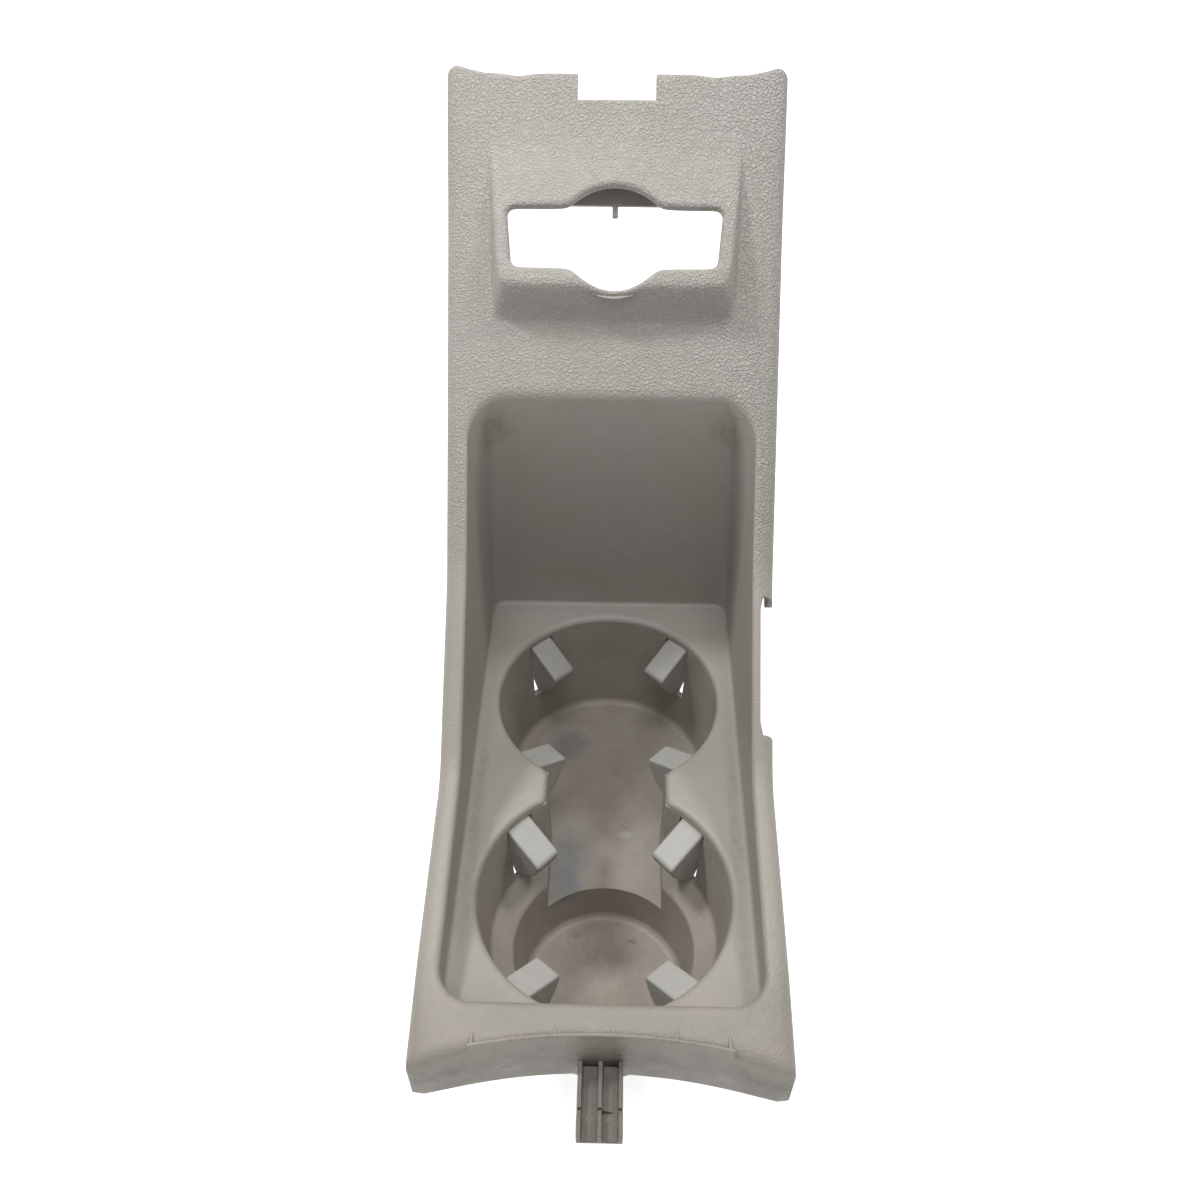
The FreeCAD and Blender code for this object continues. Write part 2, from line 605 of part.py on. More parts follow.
def trim_panel():
    body = new_body("trim_panel")
    panel_shell(body)
    recess(body)
    cup_hole(body)
    pod(body)
    end_and_side_cuts(body)
    lip_and_tongue(body)
    fixings_below(body)
    return body


# ---------------------------------------------------------------- cup tub


def upright(body, name, bearing, cup_y):
    """A sketch on the upright plane through a cup's axis; across is the distance out from that axis."""
    return new_sketch(body, name, "XZ_Plane", out=-cup_y, turn=(V(0, 1, 0), bearing))


def cup_tub():
    """The insert under the plate: two wells, the neck floor, the can pocket, slots and hinge forks."""
    body = new_body("cup_tub")
    wall = S.tub_wall
    far, near = S.cup_pitch, 0
    outside = new_sketch(body, "far_outside", "YZ_Plane", across=far)
    outline(outside, [(0, S.well_floor - wall), (S.well_foot + wall, S.well_floor - wall),
                      (S.cup_hole + wall, tub_top), (0, tub_top)])
    spin(body, "Revolution", outside)
    channel = new_sketch(body, "channel_outside", "XY_Plane", out=S.well_floor - wall)
    half = S.neck_half + wall
    outline(channel, [(-half, near), (half, near), (half, far), (-half, far)])
    extrude(body, "Pad", channel, tub_top - S.well_floor + wall)
    outside = new_sketch(body, "near_outside", "YZ_Plane", across=near)
    outline(outside, [(0, 0), (S.pocket_foot + wall, 0), (S.ledge_in + wall, S.ledge_in_z - wall),
                      (S.ledge_out + wall, S.ledge_out_z - wall), (S.cup_hole + wall, tub_top), (0, tub_top)])
    spin(body, "Revolution", outside)
    for side in (-1, 1):
        for cup, y in CUPS.items():
            name = f"ear_{cup}_{'l' if side < 0 else 'r'}"
            ear = new_sketch(body, name, "XY_Plane", out=S.boss_low - S.ear_wall)
            inner, outer = S.cup_hole, S.boss_x + S.boss_radius + S.ear_rim
            wide = S.boss_radius + S.ear_rim
            corners = [(inner, y - wide), (outer, y - wide, S.boss_radius),
                       (outer, y + wide, S.boss_radius), (inner, y + wide)]
            if side < 0:
                corners = [(-c[0], *c[1:]) for c in corners[::-1]]
            outline(ear, corners)
            extrude(body, "Pad", ear, S.ear_wall)
            hole = new_sketch(body, f"hole_{name}", "XY_Plane", out=S.boss_low)
            circle(hole, side * S.boss_x, y, S.screw_radius + S.screw_play)
            extrude(body, "Pocket", hole, S.ear_wall)
    in_wall = S.cup_hole + S.tub_gap
    reach = S.hub_round + S.fork_rim
    for name, (cup, bearing) in FLAPS.items():
        fork = upright(body, f"fork_{name}", bearing, CUPS[cup])
        outline(fork, [(in_wall, S.pivot_z - reach - S.fork_foot),
                       (S.pivot_out + reach, S.pivot_z - reach, S.fork_round),
                       (S.pivot_out + reach, flap_top, S.fork_round), (in_wall, flap_top)])
        extrude(body, "Pad", fork, 2 * fork_half, both=True)
    inside = new_sketch(body, "far_inside", "YZ_Plane", across=far)
    outline(inside, [(0, S.well_floor), (S.well_foot, S.well_floor, S.well_round), (S.cup_hole, tub_top),
                     (0, tub_top)])
    spin(body, "Groove", inside)
    inside = new_sketch(body, "near_inside", "YZ_Plane", across=near)
    outline(inside, [(0, wall), (S.pocket_foot, wall, S.well_round),
                     (S.ledge_in, S.ledge_in_z, S.ledge_round),
                     (S.ledge_out, S.ledge_out_z, S.well_round), (S.cup_hole, tub_top), (0, tub_top)])
    spin(body, "Groove", inside)
    channel = new_sketch(body, "channel_inside", "XY_Plane", out=S.well_floor)
    outline(channel, [(-S.neck_half, near), (S.neck_half, near), (S.neck_half, far), (-S.neck_half, far)])
    extrude(body, "Pocket", channel, tub_top - S.well_floor, back=True)
    for name, (cup, bearing) in FLAPS.items():
        y = CUPS[cup]
        gap = upright(body, f"fork_gap_{name}", bearing, y)
        outer = S.pivot_out + S.hub_round * 2
        outline(gap, [(in_wall + wall, S.slot_low), (outer, S.slot_low), (outer, tub_top),
                      (in_wall + wall, tub_top)])
        extrude(body, "Pocket", gap, 2 * (flap_half + S.spring_room), both=True)
        slot = upright(body, f"slot_{name}", bearing, y)
        inner, outer = S.cup_hole - S.slot_deep, S.cup_hole + S.slot_deep
        outline(slot, [(inner, S.slot_low), (outer, S.slot_low), (outer, S.slot_high),
                       (inner, S.slot_high)])
        extrude(body, "Pocket", slot, 2 * (flap_half + S.flap_play), both=True)
        bore = upright(body, f"pin_bore_{name}", bearing, y)
        circle(bore, S.pivot_out, S.pivot_z, S.pin_radius)
        extrude(body, "Pocket", bore, 2 * fork_half + S.tub_wall, both=True)
    return body


# ---------------------------------------------------------------- flaps, pins and springs


def stand_at(part, cup, bearing):
    """Turn a piece drawn on the +X side of a cup to its bearing, at its cup."""
    place = FreeCAD.Placement(V(0, CUPS[cup].value, 0), FreeCAD.Rotation(V(0, 0, 1), bearing))
    part.Placement = place
    bind(part, Placement__Base__y=CUPS[cup])
    return part


def polar(radius, angle):
    """A point at an angle below the line from the pin to the cup's axis."""
    return S.pivot_out - radius * cos(angle), S.pivot_z - radius * sin(angle)


def grip_flap(name, cup, bearing):
    """A sector that turns on its pin: sloping top, round nose, and a front that is an arc about the pin."""
    body = new_body(f"grip_flap_{name}")
    side = new_sketch(body, "flap_side", "XZ_Plane")
    nose, tail = polar(S.flap_reach, S.nose_angle), polar(S.flap_reach, S.flap_tail)
    slope = sin(S.flap_slope) / cos(S.flap_slope)
    brow = nose[0] + (flap_top - nose[1]) / slope
    pivot = V(S.pivot_out.value, S.pivot_z.value, 0)
    points = [V(p[0].value, p[1].value, 0) for p in
              (nose, (brow, flap_top), (S.pivot_out, flap_top), (S.pivot_out + S.hub_round, S.pivot_z), tail)]

    def arc(radius, first, last):
        whole = Part.Circle(pivot, V(0, 0, 1), radius)
        return Part.ArcOfCircle(whole, math.radians(first), math.radians(last))

    slope_line = side.addGeometry(Part.LineSegment(points[0], points[1]), False)
    top_line = side.addGeometry(Part.LineSegment(points[1], points[2]), False)
    hub = side.addGeometry(arc(S.hub_round.value, 0, 90), False)
    back_line = side.addGeometry(Part.LineSegment(points[3], points[4]), False)
    front_arc = arc(S.flap_reach.value, 180 + S.nose_angle.value, 180 + S.flap_tail.value)
    front = side.addGeometry(front_arc, False)
    joins = [(slope_line, 2, top_line, 1), (top_line, 2, hub, 2), (hub, 1, back_line, 1),
             (back_line, 2, front, 2), (front, 1, slope_line, 1), (hub, 3, front, 3)]
    for join in joins:
        side.addConstraint(Sketcher.Constraint("Coincident", *join))
    pin_point(side, hub, 3, S.pivot_out, S.pivot_z)
    pin_point(side, top_line, 1, brow, flap_top)
    for kind, geometry, place, formula in (
            ("DistanceX", hub, 2, S.pivot_out), ("DistanceY", hub, 1, S.pivot_z),
            ("DistanceY", front, 1, nose[1]), ("DistanceX", front, 2, tail[0])):
        index = side.addConstraint(Sketcher.Constraint(kind, -1, 1, geometry, place, formula.value))
        side.setExpression(f"Constraints[{index}]", formula.text)
    for geometry, radius in ((hub, S.hub_round), (front, S.flap_reach)):
        index = side.addConstraint(Sketcher.Constraint("Radius", geometry, radius.value))
        side.setExpression(f"Constraints[{index}]", radius.text)
    extrude(body, "Pad", side, S.flap_width, both=True)
    inner = nose[0].value
    soften(body, "nose_round", "Fillet", S.flap_nose,
           lambda e: e.BoundBox.YLength > flap_half.value and abs(e.CenterOfMass.x - inner) < TINY)
    flank = flap_half.value
    soften(body, "flank_round", "Fillet", S.flap_round, lambda e: abs(abs(e.CenterOfMass.y) - flank) < TINY)
    spacer = new_sketch(body, "spacer", "XZ_Plane", out=flap_half)
    circle(spacer, S.pivot_out, S.pivot_z, S.hub_round)
    extrude(body, "Pad", spacer, S.spring_room - S.fork_play)
    bore = new_sketch(body, "pin_bore", "XZ_Plane")
    circle(bore, S.pivot_out, S.pivot_z, S.pin_radius + S.pin_play)
    extrude(body, "Pocket", bore, 2 * fork_half, both=True)
    return stand_at(body, cup, bearing)


def hinge_pin(name, cup, bearing):
    """A plain steel pin, flush with the outsides of its fork."""
    pin = doc.addObject("Part::Cylinder", f"hinge_pin_{name}")
    pin.Label = f"hinge_pin_{name}"
    bind(pin, Radius=S.pin_radius, Height=2 * fork_half)
    at_cup = FreeCAD.Placement(V(0, CUPS[cup].value, 0), FreeCAD.Rotation(V(0, 0, 1), bearing))
    lying = FreeCAD.Placement(V(S.pivot_out.value, fork_half.value, S.pivot_z.value),
                              FreeCAD.Rotation(V(1, 0, 0), 90))
    pin.Placement = at_cup * lying
    return pin


def torsion_spring(name, cup, bearing):
    """A round-wire coil on the pin; its short leg bears on the tub, its long leg runs down the flap."""
    wire, turns, coil = S.spring_wire.value, S.spring_turns.value + QUARTER, S.spring_coil.value
    pitch = S.spring_pitch.value
    start = flap_half.value + (S.spring_room.value - pitch * turns) / 2
    short = (S.pivot_out - S.cup_hole - S.tub_wall).value - wire
    end = V(0, coil, pitch * turns)
    low = Part.makeLine(V(coil, -short, 0), V(coil, 0, 0))
    high = Part.makeLine(end, end - V(S.spring_leg.value, 0, 0))
    path = Part.Wire([low, *Part.makeHelix(pitch, pitch * turns, coil).Edges, high])
    profile = Part.Wire(Part.makeCircle(wire / 2, V(coil, -short, 0), V(0, 1, 0)))
    solid = path.makePipeShell([profile], True, True)
    spring = doc.addObject("Part::Feature", f"torsion_spring_{name}")
    spring.Label = f"torsion_spring_{name}"
    spring.Shape = solid
    at_cup = FreeCAD.Placement(V(0, CUPS[cup].value, 0), FreeCAD.Rotation(V(0, 0, 1), bearing))
    lying = FreeCAD.Placement(V(S.pivot_out.value, start, S.pivot_z.value), FreeCAD.Rotation(V(1, 0, 0), -90))
    quarter = FreeCAD.Placement(V(), FreeCAD.Rotation(V(0, 0, 1), -90))
    spring.Placement = at_cup * lying * quarter
    return spring


# ---------------------------------------------------------------- fixings


def tub_screws():
    """Four pan-head screws, driven up through the tub's ears into the panel's bosses."""
    pieces = []
    for side in (-1, 1):
        for cup, y in CUPS.items():
            tag = f"{cup}_{'l' if side < 0 else 'r'}"
            shank = doc.addObject("Part::Cylinder", f"shank_{tag}")
            head = doc.addObject("Part::Cylinder", f"head_{tag}")
            bind(shank, Radius=S.screw_radius, Height=S.screw_length, Placement__Base__x=side * S.boss_x,
                 Placement__Base__y=y, Placement__Base__z=S.boss_low - S.ear_wall)
            bind(head, Radius=S.screw_head, Height=S.screw_head_wall, Placement__Base__x=side * S.boss_x,
                 Placement__Base__y=y, Placement__Base__z=S.boss_low - S.ear_wall - S.screw_head_wall)
            screw = doc.addObject("Part::Fuse", f"screw_{tag}")
            screw.Base, screw.Tool = shank, head
            pieces.append(screw)
    group = doc.addObject("Part::Compound", "tub_screws")
    group.Label = "tub_screws"
    group.Links = pieces
    return group


def retaining_clips():
    """Four bent sheet-steel clips, each pushed up over its tab, with its two leaves flared outwards."""
    pieces = []
    for name, side, along in TABS:
        body = new_body(f"clip_{name}")
        y, z = on_ramp(along + (S.tab_wide - S.clip_wide) / 2)
        bend = new_sketch(body, "clip_bend", "XZ_Plane", across=side * S.tab_side, up=z, out=-y,
                          turn=(V(1, 0, 0), 1))
        bind(bend, AttachmentOffset__Rotation__Angle=S.ramp_angle)
        inner = S.tab_wall / 2
        outer = inner + S.clip_wall
        tip = -(S.panel_wall / 2 + S.tab_deep)
        low, high = tip - S.clip_wall, tip + S.clip_deep
        flare = S.clip_flare
        right = [(outer, low), (outer, high), (outer + flare, high + flare),
                 (inner + flare, high + flare + S.clip_wall), (inner, high + S.clip_wall / 2), (inner, tip)]
        outline(bend, right + [(-x, rise) for x, rise in right[::-1]])
        extrude(body, "Pad", bend, S.clip_wide, back=True)
        pieces.append(body)
    group = doc.addObject("Part::Compound", "retaining_clips")
    group.Label = "retaining_clips"
    group.Links = pieces
    return group


# ---------------------------------------------------------------- build and write

PARTS = [trim_panel(), cup_tub(), tub_screws(), retaining_clips()]
for flap_name, (flap_cup, flap_bearing) in FLAPS.items():
    PARTS.append(grip_flap(flap_name, flap_cup, flap_bearing))
    PARTS.append(hinge_pin(flap_name, flap_cup, flap_bearing))
    PARTS.append(torsion_spring(flap_name, flap_cup, flap_bearing))
doc.recompute()

for thing in doc.Objects:
    if {"Invalid", "Error"} & set(thing.State):
        raise RuntimeError(f"{thing.Label} failed: {thing.State}")
os.makedirs("parts", exist_ok=True)
for part in PARTS:
    if part.Shape.isNull() or not part.Shape.isValid():
        raise RuntimeError(f"{part.Label} has a bad shape")
for part in PARTS:
    part.Shape.exportStep(f"parts/{part.Label}.step")
    box = part.Shape.BoundBox
    print(part.Label, len(part.Shape.Solids), "solid", [round(v, 1) for v in
          (box.XMin, box.XMax, box.YMin, box.YMax, box.ZMin, box.ZMax)], round(part.Shape.Volume))
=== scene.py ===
# %% [markdown]
# # Cup-holder trim panel
# A moulded trim panel from between two seats: a long sloping ramp with a raised
# switch pod, a deep recess below it, two tandem cup wells and eight small sprung
# flaps that grip a cup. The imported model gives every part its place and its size
# in metres. Here the visible parts get the finer surfaces and the finishes that
# the plain solids lack.

import math

import bmesh
import bpy
import numpy as np
from mathutils import Matrix, Vector


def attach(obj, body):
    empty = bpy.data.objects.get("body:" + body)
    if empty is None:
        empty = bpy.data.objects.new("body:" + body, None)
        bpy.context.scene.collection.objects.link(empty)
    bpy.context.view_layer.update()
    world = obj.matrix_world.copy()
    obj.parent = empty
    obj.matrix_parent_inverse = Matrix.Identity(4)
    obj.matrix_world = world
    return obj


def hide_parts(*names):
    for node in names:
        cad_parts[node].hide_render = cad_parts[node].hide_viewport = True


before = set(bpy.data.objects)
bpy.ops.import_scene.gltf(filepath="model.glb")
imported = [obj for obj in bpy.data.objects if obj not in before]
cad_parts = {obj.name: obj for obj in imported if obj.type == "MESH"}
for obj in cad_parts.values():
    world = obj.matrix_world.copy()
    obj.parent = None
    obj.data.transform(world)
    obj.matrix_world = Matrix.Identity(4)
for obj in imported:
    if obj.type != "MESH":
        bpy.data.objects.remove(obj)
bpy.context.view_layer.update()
MM = 0.001

# %% [markdown]
# ## Camera
# The part is viewed through a normal lens from a little above its near end, with
# its length along the view. The camera is placed first, so
# that every later choice can be judged in the final view. Its turn is worked out
# from a heading, a look-down angle and a small tilt of the horizon. The part itself
# lies leaning a little to one side, so the whole view is leaned about its plate.

# %% Camera
EYE = (0.00875, -0.19565, 0.40016)
LOOK_DOWN, HEADING, TILT = math.radians(43.75), math.radians(-2.216), math.radians(-1.469)
LEAN, PIVOT = math.radians(-1.2), Matrix.Translation((0, 0, 0.0735))


def camera_turn(down_angle, heading, tilt):
    """Rotation whose columns are the camera's right, up and backward directions.

    Forward is the heading turned down by down_angle, right is level and square to
    it, and both right and up are then turned by tilt about the forward direction.
    """
    forward = np.array([
        math.sin(heading) * math.cos(down_angle),
        math.cos(heading) * math.cos(down_angle),
        -math.sin(down_angle),
    ])
    right = np.array([math.cos(heading), -math.sin(heading), 0.0])
    down = np.cross(forward, right)
    tilted_right = math.cos(tilt) * right - math.sin(tilt) * down
    tilted_down = math.sin(tilt) * right + math.cos(tilt) * down
    return Matrix(np.column_stack([tilted_right, -tilted_down, -forward]).tolist())


camera = bpy.data.objects.new("camera", bpy.data.cameras.new("camera"))
bpy.context.scene.collection.objects.link(camera)
camera.data.sensor_width = 36.0
camera.data.lens = 31.932
camera.data.clip_start, camera.data.clip_end = 0.01, 20.0
upright_view = Matrix.Translation(EYE) @ camera_turn(LOOK_DOWN, HEADING, TILT).to_4x4()
camera.matrix_world = PIVOT @ Matrix.Rotation(LEAN, 4, "Y") @ PIVOT.inverted() @ upright_view
bpy.context.scene.camera = camera
print("camera at", EYE)

# %% [markdown]
# ## Node helpers
# A material is a small graph of nodes. Three short helpers keep the later cells
# readable: one adds a node and sets its sockets by name, one makes a new node
# group with named sockets, and one starts a material with its Principled shader.

# %% Node helpers
def node(tree, kind, label="", settings=None, **inputs):
    """Add a node, set its properties, then set or link each named or numbered input."""
    made = tree.nodes.new(kind)
    made.label = label
    for name, value in (settings or {}).items():
        setattr(made, name, value)
    for name, value in inputs.items():
        key = int(name[1:]) if name[0] == "i" and name[1:].isdigit() else name.replace("_", " ")
        if isinstance(value, bpy.types.NodeSocket):
            tree.links.new(value, made.inputs[key])
        else:
            made.inputs[key].default_value = value
    return made


def maths(tree, operation, a, b=0.0, clamp=False):
    """The result of one Math node."""
    return node(tree, "ShaderNodeMath", settings={"operation": operation, "use_clamp": clamp},
                i0=a, i1=b).outputs[0]


def between(tree, value, low, high, out_low=0.0, out_high=1.0):
    """Value carried from the range low..high to out_low..out_high, smooth and held at both ends."""
    ranged = node(tree, "ShaderNodeMapRange", settings={"interpolation_type": "SMOOTHSTEP"},
                  Value=value)
    for name, number in (("From Min", low), ("From Max", high), ("To Min", out_low), ("To Max", out_high)):
        if isinstance(number, bpy.types.NodeSocket):
            tree.links.new(number, ranged.inputs[name])
        else:
            ranged.inputs[name].default_value = number
    return ranged.outputs["Result"]


def colour_mix(tree, amount, a, b, blend="MIX"):
    """Colour a turned into colour b by amount."""
    made = tree.nodes.new("ShaderNodeMix")
    made.data_type, made.blend_type = "RGBA", blend
    for socket, value in ((made.inputs[0], amount), (made.inputs[6], a), (made.inputs[7], b)):
        if isinstance(value, bpy.types.NodeSocket):
            tree.links.new(value, socket)
        else:
            socket.default_value = value
    return made.outputs[2]


def group(name, inputs, outputs):
    """A shader node group with named sockets; inputs give kind and first value."""
    tree = bpy.data.node_groups.new(name, "ShaderNodeTree")
    for socket, (kind, value) in inputs.items():
        made = tree.interface.new_socket(socket, in_out="INPUT", socket_type=f"NodeSocket{kind}")
        made.default_value = value
    for socket, kind in outputs.items():
        tree.interface.new_socket(socket, in_out="OUTPUT", socket_type=f"NodeSocket{kind}")
    given = tree.nodes.new("NodeGroupInput").outputs
    result = tree.nodes.new("NodeGroupOutput").inputs
    return tree, given, result


def placed(tree, group_tree, **inputs):
    """Place a group in a material with its own values."""
    return node(tree, "ShaderNodeGroup", settings={"node_tree": group_tree}, **inputs)


def material(name, roughness=0.6):
    """A node material holding one Principled shader; gives the material, tree, shader and place."""
    made = bpy.data.materials.new(name)
    made.use_nodes = True
    tree = made.node_tree
    shader = tree.nodes["Principled BSDF"]
    shader.inputs["Roughness"].default_value = roughness
    place = tree.nodes.new("ShaderNodeTexCoord").outputs["Object"]
    return made, tree, shader, place


# %% [markdown]
# ## Shared effects
# Moulded interior plastic has three things that a flat colour lacks. Its surface
# carries a leather-like grain pressed in by the mould. Hands and cups leave soft
# dull and pale patches. Dust settles in places, and the same brown marks also
# paint shade into corners and onto faces turned from the light. Each effect is
# made once as a group, with its scale, strength and colours as named inputs, and
# each material sets its own values. Cell noise makes the grain, because real
# grain is a net of creases round small raised islands.

# %% Group: pressed grain
grain_group, given, result = group(
    "pressed grain",
    {"Place": ("Vector", (0, 0, 0)), "Cell size": ("Float", 0.0016), "Depth": ("Float", 0.5),
     "Wander": ("Float", 0.5), "Cover": ("Float", 1.0)},
    {"Height": "Float", "Crease": "Float"},
)
per_metre = maths(grain_group, "DIVIDE", 1.0, given["Cell size"])
warp = node(grain_group, "ShaderNodeTexNoise", Vector=given["Place"], Detail=2.0,
            Scale=maths(grain_group, "MULTIPLY", per_metre, 0.45))
warp_offset = node(grain_group, "ShaderNodeVectorMath", settings={"operation": "SUBTRACT"},
                   i0=warp.outputs["Color"], i1=(0.5, 0.5, 0.5))
warp_step = node(grain_group, "ShaderNodeVectorMath", settings={"operation": "SCALE"},
                 i0=warp_offset.outputs[0],
                 Scale=maths(grain_group, "MULTIPLY", given["Cell size"],
                             maths(grain_group, "MULTIPLY", given["Wander"], 2.0)))
warped = node(grain_group, "ShaderNodeVectorMath", settings={"operation": "ADD"},
              i0=given["Place"], i1=warp_step.outputs[0])
islands = node(grain_group, "ShaderNodeTexVoronoi",
               settings={"feature": "DISTANCE_TO_EDGE", "voronoi_dimensions": "3D"},
               Vector=warped.outputs[0], Scale=per_metre)
small_islands = node(grain_group, "ShaderNodeTexVoronoi",
                     settings={"feature": "DISTANCE_TO_EDGE", "voronoi_dimensions": "3D"},
                     Vector=warped.outputs[0], Scale=maths(grain_group, "MULTIPLY", per_metre, 2.1))
dome = between(grain_group, islands.outputs["Distance"], 0.0, 0.32)
small_dome = between(grain_group, small_islands.outputs["Distance"], 0.0, 0.3)
relief = maths(grain_group, "ADD", maths(grain_group, "MULTIPLY", dome, 0.72),
               maths(grain_group, "MULTIPLY", small_dome, 0.28))
covered = maths(grain_group, "MULTIPLY", given["Depth"], given["Cover"])
grain_group.links.new(maths(grain_group, "MULTIPLY", relief, covered), result["Height"])
crease = maths(grain_group, "SUBTRACT", 1.0, between(grain_group, relief, 0.1, 0.75))
grain_group.links.new(maths(grain_group, "MULTIPLY", crease, given["Cover"]), result["Crease"])
print("grain group sockets", [s.name for s in grain_group.interface.items_tree])

# %% [markdown]
# A handled surface is never one tone. Broad soft patches show where it was wiped,
# and finer mottling shows where it was not. Both come from noise at two scales.

# %% Group: uneven tone
tone_group, given, result = group(
    "uneven tone",
    {"Place": ("Vector", (0, 0, 0)), "Base": ("Color", (0.4, 0.38, 0.36, 1)),
     "Second": ("Color", (0.36, 0.33, 0.3, 1)), "Patch size": ("Float", 0.03),
     "Amount": ("Float", 0.5), "Roughness": ("Float", 0.55), "Roughness spread": ("Float", 0.1)},
    {"Color": "Color", "Roughness": "Float", "Patch": "Float"},
)
patch = node(tone_group, "ShaderNodeTexNoise", Vector=given["Place"], Detail=4.0, Roughness=0.55,
             Scale=maths(tone_group, "DIVIDE", 1.0, given["Patch size"]))
patch_mask = between(tone_group, patch.outputs["Fac"], 0.38, 0.66)
fine = node(tone_group, "ShaderNodeTexNoise", Vector=given["Place"], Detail=3.0, Roughness=0.6,
            Scale=maths(tone_group, "DIVIDE", 9.0, given["Patch size"]))
fine_mask = between(tone_group, fine.outputs["Fac"], 0.45, 0.75)
both = maths(tone_group, "ADD", maths(tone_group, "MULTIPLY", patch_mask, 0.7),
             maths(tone_group, "MULTIPLY", fine_mask, 0.3))
weight = maths(tone_group, "MULTIPLY", both, given["Amount"], clamp=True)
tone_group.links.new(colour_mix(tone_group, weight, given["Base"], given["Second"]), result["Color"])
spread_up = maths(tone_group, "MULTIPLY", maths(tone_group, "SUBTRACT", both, 0.5),
                  given["Roughness spread"])
tone_group.links.new(maths(tone_group, "ADD", given["Roughness"], spread_up), result["Roughness"])
tone_group.links.new(patch_mask, result["Patch"])

# %% [markdown]
# Stains, scuffs and dust sit at known places: speckled dirt on the tongue, bluish
# film on the left of the well floor. The same marks also paint shade: brown shadow
# in the far top corners of the recess and along the feet of its walls, a dark
# skirt at the near end, and browner, darker well floors.
# A group turns a centre and a size into a soft, broken-up mask, so a material can
# place as many marks as the real part shows.

# %% Group: placed mark
mark_group, given, result = group(
    "placed mark",
    {"Place": ("Vector", (0, 0, 0)), "Colour in": ("Color", (0.4, 0.4, 0.4, 1)),
     "Mark colour": ("Color", (0.2, 0.15, 0.1, 1)), "Centre": ("Vector", (0, 0, 0)),
     "Size": ("Vector", (0.01, 0.01, 0.01)), "Strength": ("Float", 0.5),
     "Break up": ("Float", 0.6), "Speck size": ("Float", 0.002)},
    {"Color": "Color", "Mask": "Float"},
)
from_centre = node(mark_group, "ShaderNodeVectorMath", settings={"operation": "SUBTRACT"},
                   i0=given["Place"], i1=given["Centre"])
in_sizes = node(mark_group, "ShaderNodeVectorMath", settings={"operation": "DIVIDE"},
                i0=from_centre.outputs[0], i1=given["Size"])
away = node(mark_group, "ShaderNodeVectorMath", settings={"operation": "LENGTH"},
            i0=in_sizes.outputs[0])
ragged = node(mark_group, "ShaderNodeTexNoise", Vector=given["Place"], Detail=5.0, Roughness=0.65,
              Scale=maths(mark_group, "DIVIDE", 0.35, given["Speck size"]))
speck = node(mark_group, "ShaderNodeTexNoise", Vector=given["Place"], Detail=2.0,
             Scale=maths(mark_group, "DIVIDE", 1.0, given["Speck size"]))
edge = maths(mark_group, "ADD", away.outputs["Value"],
             maths(mark_group, "MULTIPLY",
                   maths(mark_group, "SUBTRACT", ragged.outputs["Fac"], 0.5), 1.3))
inside = between(mark_group, edge, 1.1, 0.25)
specks = between(mark_group, speck.outputs["Fac"], 0.42, 0.62)
broken = maths(mark_group, "ADD", maths(mark_group, "SUBTRACT", 1.0, given["Break up"]),
               maths(mark_group, "MULTIPLY", specks, given["Break up"]))
mark_mask = maths(mark_group, "MULTIPLY", maths(mark_group, "MULTIPLY", inside, broken),
                  given["Strength"], clamp=True)
mark_group.links.new(mark_mask, result["Mask"])
mark_group.links.new(colour_mix(mark_group, mark_mask, given["Colour in"], given["Mark colour"]),
                     result["Color"])

# %% [markdown]
# ## Finishes
# The trim panel is warm grey moulded plastic. Its outer faces are grained, its
# recess is finer and smoother. The tub below is a browner grey, and the flaps a
# slightly greener one. The panel's colour is painted darker at its near end and
# deck and lighter up the ramp, as the light falls, and marks paint shade into the
# skirt, the recess and the well floors. The lamps stay at a level that leaves the
# colours as written.

# %% Finish helpers
WARM_GREY = (0.405, 0.385, 0.358, 1)
# painted shade: the deck and near-end greys below are darker copies of the warm grey
DECK_SHADE_GREY = (0.300, 0.282, 0.250, 1)
NEAR_SHADE_GREY = (0.235, 0.216, 0.186, 1)
# painted shade for the near skirt and tongue, which face down and away from the lamps
SKIRT_SHADE_BROWN = (0.085, 0.074, 0.062, 1)
DUSTY_GREY = (0.365, 0.330, 0.290, 1)
# brown for real dirt on the tongue and well floor, and for painted shade in the recess
DIRT_AND_SHADE_BROWN = (0.150, 0.105, 0.070, 1)
PALE_SCUFF = (0.560, 0.545, 0.515, 1)
BLUE_FILM = (0.150, 0.170, 0.185, 1)
# painted shade: a browner, darker tone for the well floors
FLOOR_SHADE_BROWN = (0.230, 0.185, 0.145, 1)


def finish_plastic(tree, shader, place, colour, second, patch_size, amount, roughness, spread,
                   cell, depth, cover=1.0, crease_shade=0.25, marks=()):
    """Join tone, marks and grain into one plastic; each mark is a dictionary of group inputs."""
    tone = placed(tree, tone_group, Place=place, Base=colour, Second=second, Amount=amount,
                  Roughness=roughness, Roughness_spread=spread, Patch_size=patch_size)
    shade = tone.outputs["Color"]
    for mark in marks:
        shade = placed(tree, mark_group, Place=place, Colour_in=shade, **mark).outputs["Color"]
    grain = placed(tree, grain_group, Place=place, Cell_size=cell, Depth=1.0, Cover=cover)
    darker = maths(tree, "MULTIPLY", grain.outputs["Crease"], crease_shade)
    shade = colour_mix(tree, darker, shade, (0.17, 0.155, 0.135, 1))
    bump = node(tree, "ShaderNodeBump", Strength=1.0, Distance=depth,
                Height=grain.outputs["Height"])
    tree.links.new(shade, shader.inputs["Base Color"])
    tree.links.new(tone.outputs["Roughness"], shader.inputs["Roughness"])
    tree.links.new(bump.outputs["Normal"], shader.inputs["Normal"])
    shader.inputs["Specular IOR Level"].default_value = 0.4
    return shade


